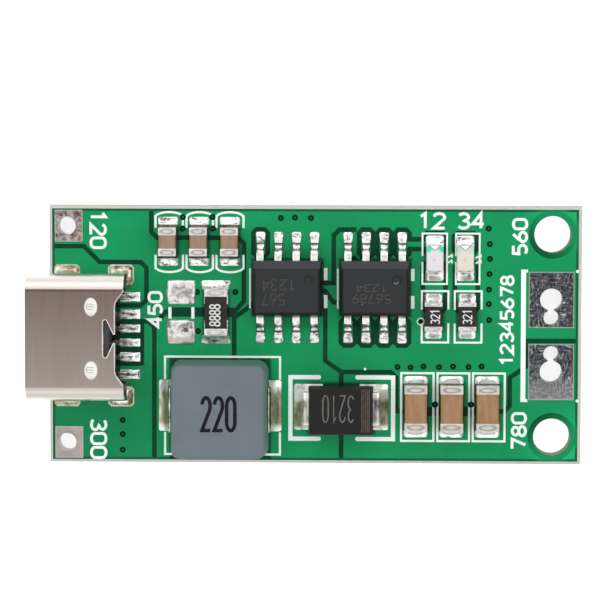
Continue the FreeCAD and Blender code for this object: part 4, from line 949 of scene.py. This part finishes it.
def make_lump(shape, chance, x, y, width, length, height):
    """A low cushion of solder that fills a bare land to its rounded corners."""
    count = 22
    steps = [-1 + 2 * n / count for n in range(count + 1)]
    lumps = [(chance.uniform(-0.7, 0.7), chance.uniform(-0.7, 0.7), chance.uniform(-0.5, 0.6),
              chance.uniform(0.2, 0.45)) for _ in range(7)]
    rows = []
    for v in steps:
        row = []
        for u in steps:
            edge = max(0.0, (1 - abs(u) ** 8) * (1 - abs(v) ** 8)) ** 0.5
            bulge = sum(size * math.exp(-((u - a) ** 2 + (v - b) ** 2) / reach ** 2)
                        for a, b, size, reach in lumps)
            pull = 1 - 0.06 * (u * u * v * v)
            lift = max(0.03 + edge * height * (0.75 + 0.35 * bulge), 0.01)
            row.append(point(shape, x + width / 2 * u * pull, y + length / 2 * v * pull, COPPER_LEVEL + lift))
        rows.append(row)
    sheet(shape, rows)
    border = rows[0][:-1] + [row[-1] for row in rows[:-1]] + rows[-1][:0:-1] + [row[0] for row in rows[:0:-1]]
    skirt = [on_copper(shape, vert) for vert in border]
    sheet(shape, [skirt + skirt[:1], border + border[:1]])


def solder_piece(name, shape, finishes, replaced=None):
    item = piece(name, shape, finishes)
    for face in item.data.polygons:
        face.use_smooth = True
    split_creases(item, 60)
    if replaced:
        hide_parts(replaced)


def make_solder():
    chance = random.Random(7)
    both = (0, 180)
    plain = ["solder_finish", "solder_shade_finish"]
    chips, capacitors = bmesh.new(), bmesh.new()
    for input_x, output_x in zip(INPUT_ROW, OUTPUT_ROW):
        for turn in both:
            solder_joint(chips, chance, (input_x, INPUT_Y, turn), (0.5, 1.0, 1.73), 0.5, 1.42,
                         under=0.84, shade=0.2)
            solder_joint(capacitors, chance, (output_x, OUTPUT_Y, turn), (1.05, 1.625, 2.18), 0.45, 1.72, 0.2,
                         hollow=1.6, under=0.88, shade=0.06)
    lamp = ((0.5, 1.0, 1.6), 0.22)
    for x in LAMPS:
        solder_joint(chips, chance, (x, LAMP_Y, 0), *lamp, 1.3, 0.2, under=0.9)
    for turn in both:
        solder_joint(chips, chance, (SENSE_X, SENSE_Y, turn), (0.57, 1.625, 2.26), 0.4, 2.0,
                     flare=0.06, under=0.84)
    solder_piece("chip_joints", chips, plain, replaced="chip_solder")
    solder_piece("output_capacitor_joints", capacitors, ["capacitor_joint_finish", plain[1]])
    shape = bmesh.new()
    for row, y, width, turn in ((LAMPS, LAMP_Y, 1.3, 180), (LAMP_RESISTORS, LAMP_RESISTOR_Y, 1.24, 0),
                                (LAMP_RESISTORS, LAMP_RESISTOR_Y, 1.24, 180)):
        for x in row:
            solder_joint(shape, chance, (x, y, turn), *lamp, width, 0.2, under=0.9)
    solder_piece("lamp_joints", shape, ["lamp_joint_finish"])
    shape = bmesh.new()
    for x in [centre + (k - 1.5) * LEAD_PITCH for centre in PACKAGES for k in range(4)]:
        for turn in both:
            solder_joint(shape, chance, (x, PACKAGE_Y, turn), (2.35, 3.08, 3.93), 0.16, 0.66, 0.2, 0.3,
                         hollow=1.0, under=0.74, shade=0.08, lumpy=0.16)
    solder_piece("lead_joints", shape, plain, replaced="lead_solder")
    shape = bmesh.new()
    for turn in (90, -90):
        solder_joint(shape, chance, (*DIODE, turn), (1.3, 2.75, 3.33), 0.4, 3.25, 0.16, hollow=1.7)
    solder_piece("diode_joints", shape, ["diode_joint_finish"])
    shape = bmesh.new()
    for turn in (90, -90):
        solder_joint(shape, chance, (*INDUCTOR, turn), (1.9, 3.625, 4.35), 0.8, 3.62, 0.16)
    solder_piece("inductor_joints", shape, ["inductor_joint_finish"], replaced="power_solder")
    shape = bmesh.new()
    for row in CONTACT_ROWS:
        width = 0.54 if abs(row) < 1 else 0.66
        solder_joint(shape, chance, (-13.78, row, -90), (0.0, 0.88, 1.42), 0.12, width, 0.04, 0.1, 0.12, 1.6)
    solder_piece("contact_joints", shape, ["contact_joint_finish"], replaced="contact_solder")
    shape = bmesh.new()
    for side in (1, -1):
        make_lump(shape, chance, SPARE_X, SENSE_Y + side * 1.415, 2.06, 1.76, 0.18)
    solder_piece("spare_lumps", shape, ["cushion_finish"], "spare_resistor_lands")


# White print

def lines(shape, width, *paths):
    for order, path in enumerate(paths):
        closed = len(path) > 2 and path[0] == path[-1]
        spots = [(x + SHIFT, y + SHIFT) for x, y in (path[:-1] if closed else path)]
        ribbon(shape, spots, width, MASK_LEVEL, PRINT_LEVEL, closed, 0.003 * order)


def print_frames():
    shape = bmesh.new()
    # Input capacitors: three barrels, open at their sides' middles
    for x0, x1 in ((-11.2, -9.26), (-9.01, -7.14), (-6.89, -4.98)):
        for end, tip, bulge in ((5.7, 4.47, -0.36), (7.6, 8.71, 0.36)):
            cap = bow((x0 + x1) / 2, tip - bulge, (x1 - x0) / 2, bulge, 20, 160, 10)
            shoulder = cap[0][1] - bulge / 9
            lines(shape, 0.15, [(x1, end), (x1, shoulder)] + cap + [(x0, shoulder), (x0, end)])
    # Spare resistor: two bars
    lines(shape, 0.22, [(-10.19, 1.18), (-10.19, 1.99)], [(-8.56, 1.18), (-8.56, 1.99)])
    # Inductor
    lines(shape, 0.15, [(-10.54, -3.14), (-10.54, -1.52), (-2.39, -1.52), (-2.39, -3.14)],
          [(-10.54, -6.87), (-10.54, -8.45), (-9.2, -8.45)], [(-2.39, -6.87), (-2.39, -8.45), (-4.0, -8.45)])
    # Eight-lead packages: a line at the left, a bar with a notch at the right
    for left, right, bars in ((-4.52, 0.825, ((3.94, 4.79), (1.96, 2.88))),
                              (1.68, 6.965, ((3.9, 4.74), (1.95, 2.84)))):
        lines(shape, 0.11, [(left, 1.92), (left, 4.75)])
        for low, high in bars:
            lines(shape, 0.25, [(right, low), (right, high)])
    # Lamps and their resistors
    for x0, x1, mark in ((7.64, 9.37, 9.37), (10.0, 11.66, 11.4)):
        lines(shape, 0.13, [(x0, 5.66), (x0, 7.25), (x1, 7.25), (x1, 3.69), (x0, 3.69), (x0, 5.24)])
        for y in (5.62, 5.24):
            lines(shape, 0.12, [(mark - 0.02, y - 0.1), (mark + 0.33, y + 0.12)],
                  [(mark + 0.34, y - 0.08), (mark + 0.34, y + 0.18)])
    for x0, x1 in ((7.61, 9.48), (9.93, 11.82)):
        lines(shape, 0.14, [(x0, 1.86), (x0, 3.19), (x1, 3.19), (x1, 1.9)],
              [(x0, 0.9), (x0, -0.44), (x1, -0.44), (x1, 0.92)])
    # Output capacitors
    y0, y1 = -7.43, -2.62
    for x0, x1 in ((6.18, 8.46), (8.74, 10.98), (11.24, 13.48)):
        lines(shape, 0.15, [(x0, y0), (x1, y0), (x1, y1), (x0, y1), (x0, y0)])
    piece("print_outlines", shape, ["white_print"])


def print_dot(shape, x, y, radius, top=PRINT_LEVEL, sides=12):
    lathe(shape, x + SHIFT, y + SHIFT, [(radius, MASK_LEVEL), (radius, top), (0, top)], sides)


def print_heavy():
    shape = bmesh.new()
    # Diode brackets, with round ends
    y0, y1, brackets = -2.94, -7.31, ((0.36, -1.65), (3.08, 5.61))
    lines(shape, 0.3, *[[(tip, y0), (back, y0), (back, y1), (tip, y1)] for tip, back in brackets])
    for tip, back in brackets:
        for y in (y0, y1):
            print_dot(shape, tip, y, 0.15, PRINT_LEVEL + 0.008, 16)
    # Output bar with its hooks
    lines(shape, 0.34, [(14.76, 4.73), (14.76, -4.63)])
    lines(shape, 0.2, [(14.9, 4.63), (15.07, 4.63)], [(14.9, -4.53), (15.07, -4.53)])
    for x, y, radius in ((3.62, -2.35, 0.09), (18.54, 4.61, 0.11), (18.58, -4.54, 0.11)):
        print_dot(shape, x, y, radius)
    piece("print_bars", shape, ["white_print"])


def print_numerals():
    shape = bmesh.new()
    for text, x0, x1, y0, y1, turn, stroke in (
            ("120", -15.88, -14.64, 6.08, 8.84, -90, 0.2), ("300", -15.88, -14.64, -8.84, -5.92, -90, 0.2),
            ("450", -11.78, -10.68, 0.5, 3.12, 90, 0.2), ("12", 7.31, 9.29, 7.53, 8.76, 0, 0.2),
            ("34", 10.05, 12.03, 7.53, 8.76, 0, 0.2), ("560", 13.92, 15.06, 5.69, 8.36, 90, 0.2),
            ("780", 13.92, 15.06, -8.04, -5.35, 90, 0.2), ("12345678", 13.1, 14.13, -2.09, 4.34, 90, 0.18)):
        width, height = (y1 - y0, x1 - x0) if turn else (x1 - x0, y1 - y0)
        numerals(shape, text, (x0 + x1) / 2 + SHIFT, (y0 + y1) / 2 + SHIFT, width - stroke, height - stroke,
                 turn, stroke, MASK_LEVEL, PRINT_LEVEL)
    piece("print_numerals", shape, ["white_print"])


def component_marks():
    mottled("dark_ink", "#14121a", "#221f2a", 2.0, 0.7, specular=0.1)
    mottled("pale_ink", "#ced0ce", "#e8eae8", 2.4, 0.6)
    mottled("laser_mark", "#363637", "#565554", 9.0, 0.7, specular=0.2)
    mottled("fleck_finish", "#8c8d8e", "#b0b1b2", 2.4, 0.6)
    mottled("laser_mark_grey", "#56524c", "#746f68", 4.0, 0.65)
    mottled("laser_band", "#463a34", "#645850", 4.0, 0.65)

    def top(name):
        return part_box(name)[1].z / MM

    def mark(name, finish, level, rise, turn, stroke, gap, *texts):
        """Each text comes with its middle, its width and its height."""
        shape = bmesh.new()
        for text, x, y, width, height in texts:
            numerals(shape, text, x, y, width, height, turn, stroke, level - MARK_DEPTH, level + rise, gap)
        piece(name + "_mark", shape, [finish])

    coating, package, body = top("sense_resistor_coating"), top("switch_package"), top("diode_body")
    mark("inductor", "dark_ink", top("inductor_body"), 0.006, 0, 0.25, 0.5, ("220", -6.62, -5.34, 2.3, 2.3))
    for name, text, stroke, *spot in (("sense_resistor", "8888", 0.1, -7.02, 1.41, 1.5, 0.72),
                                      ("lamp_resistor_1", "321", 0.08, 8.5, 1.37, 1.0, 0.6),
                                      ("lamp_resistor_2", "321", 0.08, 10.76, 1.37, 1.0, 0.6)):
        mark(name, "pale_ink", coating, 0.004, 90, stroke, 0.35, (text, *spot))
    for name, *texts in (
            ("switch_package", ("1234", -2.49, 3.63, 2.3, 0.72), ("567", -2.85, 2.6, 1.55, 0.76)),
            ("controller_package", ("1234", 4.03, 3.42, 2.15, 0.5), ("56789", 4.03, 2.68, 2.7, 0.6))):
        mark(name, "laser_mark", package, 0.003, 180, 0.08, 0.35, *texts)
    shape = bmesh.new()
    for x, y, radius in ((5.62, 3.78, 0.05), (5.74, 3.72, 0.045), (5.86, 3.8, 0.05), (3.38, 2.28, 0.03)):
        profile = [(radius, package - MARK_DEPTH), (radius * 0.8, package + 0.004), (0, package + 0.006)]
        lathe(shape, x, y, profile, 10)
    piece("controller_package_flecks", shape, ["fleck_finish"])
    mark("diode", "laser_mark_grey", body, 0.003, 180, 0.09, 0.55, ("3210", 1.73, -4.98, 2.15, 1.85))
    shape = bmesh.new()
    for x in (3.38, 3.52, 3.66, 3.79, 3.9):
        ribbon(shape, [(x - 0.03, -5.1), (x + 0.03, -5.1)], 3.04, body - MARK_DEPTH, body + 0.003)
    piece("diode_band", shape, ["laser_band"])


VIAS = (
    (-13.55, -6.05), (-13.55, -7.05), (-13.55, -8.16), (-9.26, 8.36), (-9.29, 7.55), (-7.17, 8.37),
    (-7.14, 7.56), (-8.27, 3.06), (-5.55, 3.07), (-8.2, 0.3), (-2.34, 8.31), (-1.35, 8.35), (-0.22, 8.32),
    (12.29, 7.61), (12.37, 6.52), (12.39, 5.47), (12.36, 4.41), (12.33, 3.31), (12.33, 2.29), (12.35, 1.16),
    (5.91, -2.19), (6.83, -2.22), (7.75, -2.15), (8.84, -2.18), (9.83, -2.14), (10.92, -2.17), (11.84, -2.13),
    (8.57, -4.84), (11.11, -4.83),
)
PRINTED_VIAS = VIAS[3:7] + VIAS[-2:]  # these break through a printed line


def make_vias():
    """Mask-filled holes: a low collar of mask round a dark pit. One is left open, with a bright ring."""
    mottled("via_pit", "#042214", "#08301d", 6.0, 0.6, specular=0.05)
    metal("via_ring_metal", [(0.3, "#b0c4b0"), (0.7, "#e2f0e2")], 3.0)
    profile = ((0.23, 1.62), (0.22, 1.638), (0.19, 1.643), (0.16, 1.642), (0.045, 1.637), (0.03, 1.639),
               (0, 1.64))
    shape = bmesh.new()
    for x, y in VIAS:
        lift = 0.024 if (x, y) in PRINTED_VIAS else 0.0
        lathe(shape, x + SHIFT, y + SHIFT, [(radius, level + lift) for radius, level in profile],
              indices=[0, 1, 1, 1, 0, 0])
    piece("vias", shape, ["masked_copper_finish", "via_pit"])
    shape = bmesh.new()
    profile = ((0.29, 1.62), (0.28, 1.65), (0.24, 1.658), (0.2, 1.652), (0.18, 1.64), (0, 1.638))
    lathe(shape, 7.54 + SHIFT, 1.03 + SHIFT, profile, 24, [0, 0, 0, 1, 1])
    piece("open_via", shape, ["via_ring_metal", "via_pit"])


set_camera()
set_world()
set_stage()
make_materials()
dress_nodes()
shell_edges()
print_frames()
print_heavy()
print_numerals()
component_marks()
make_vias()
make_solder()
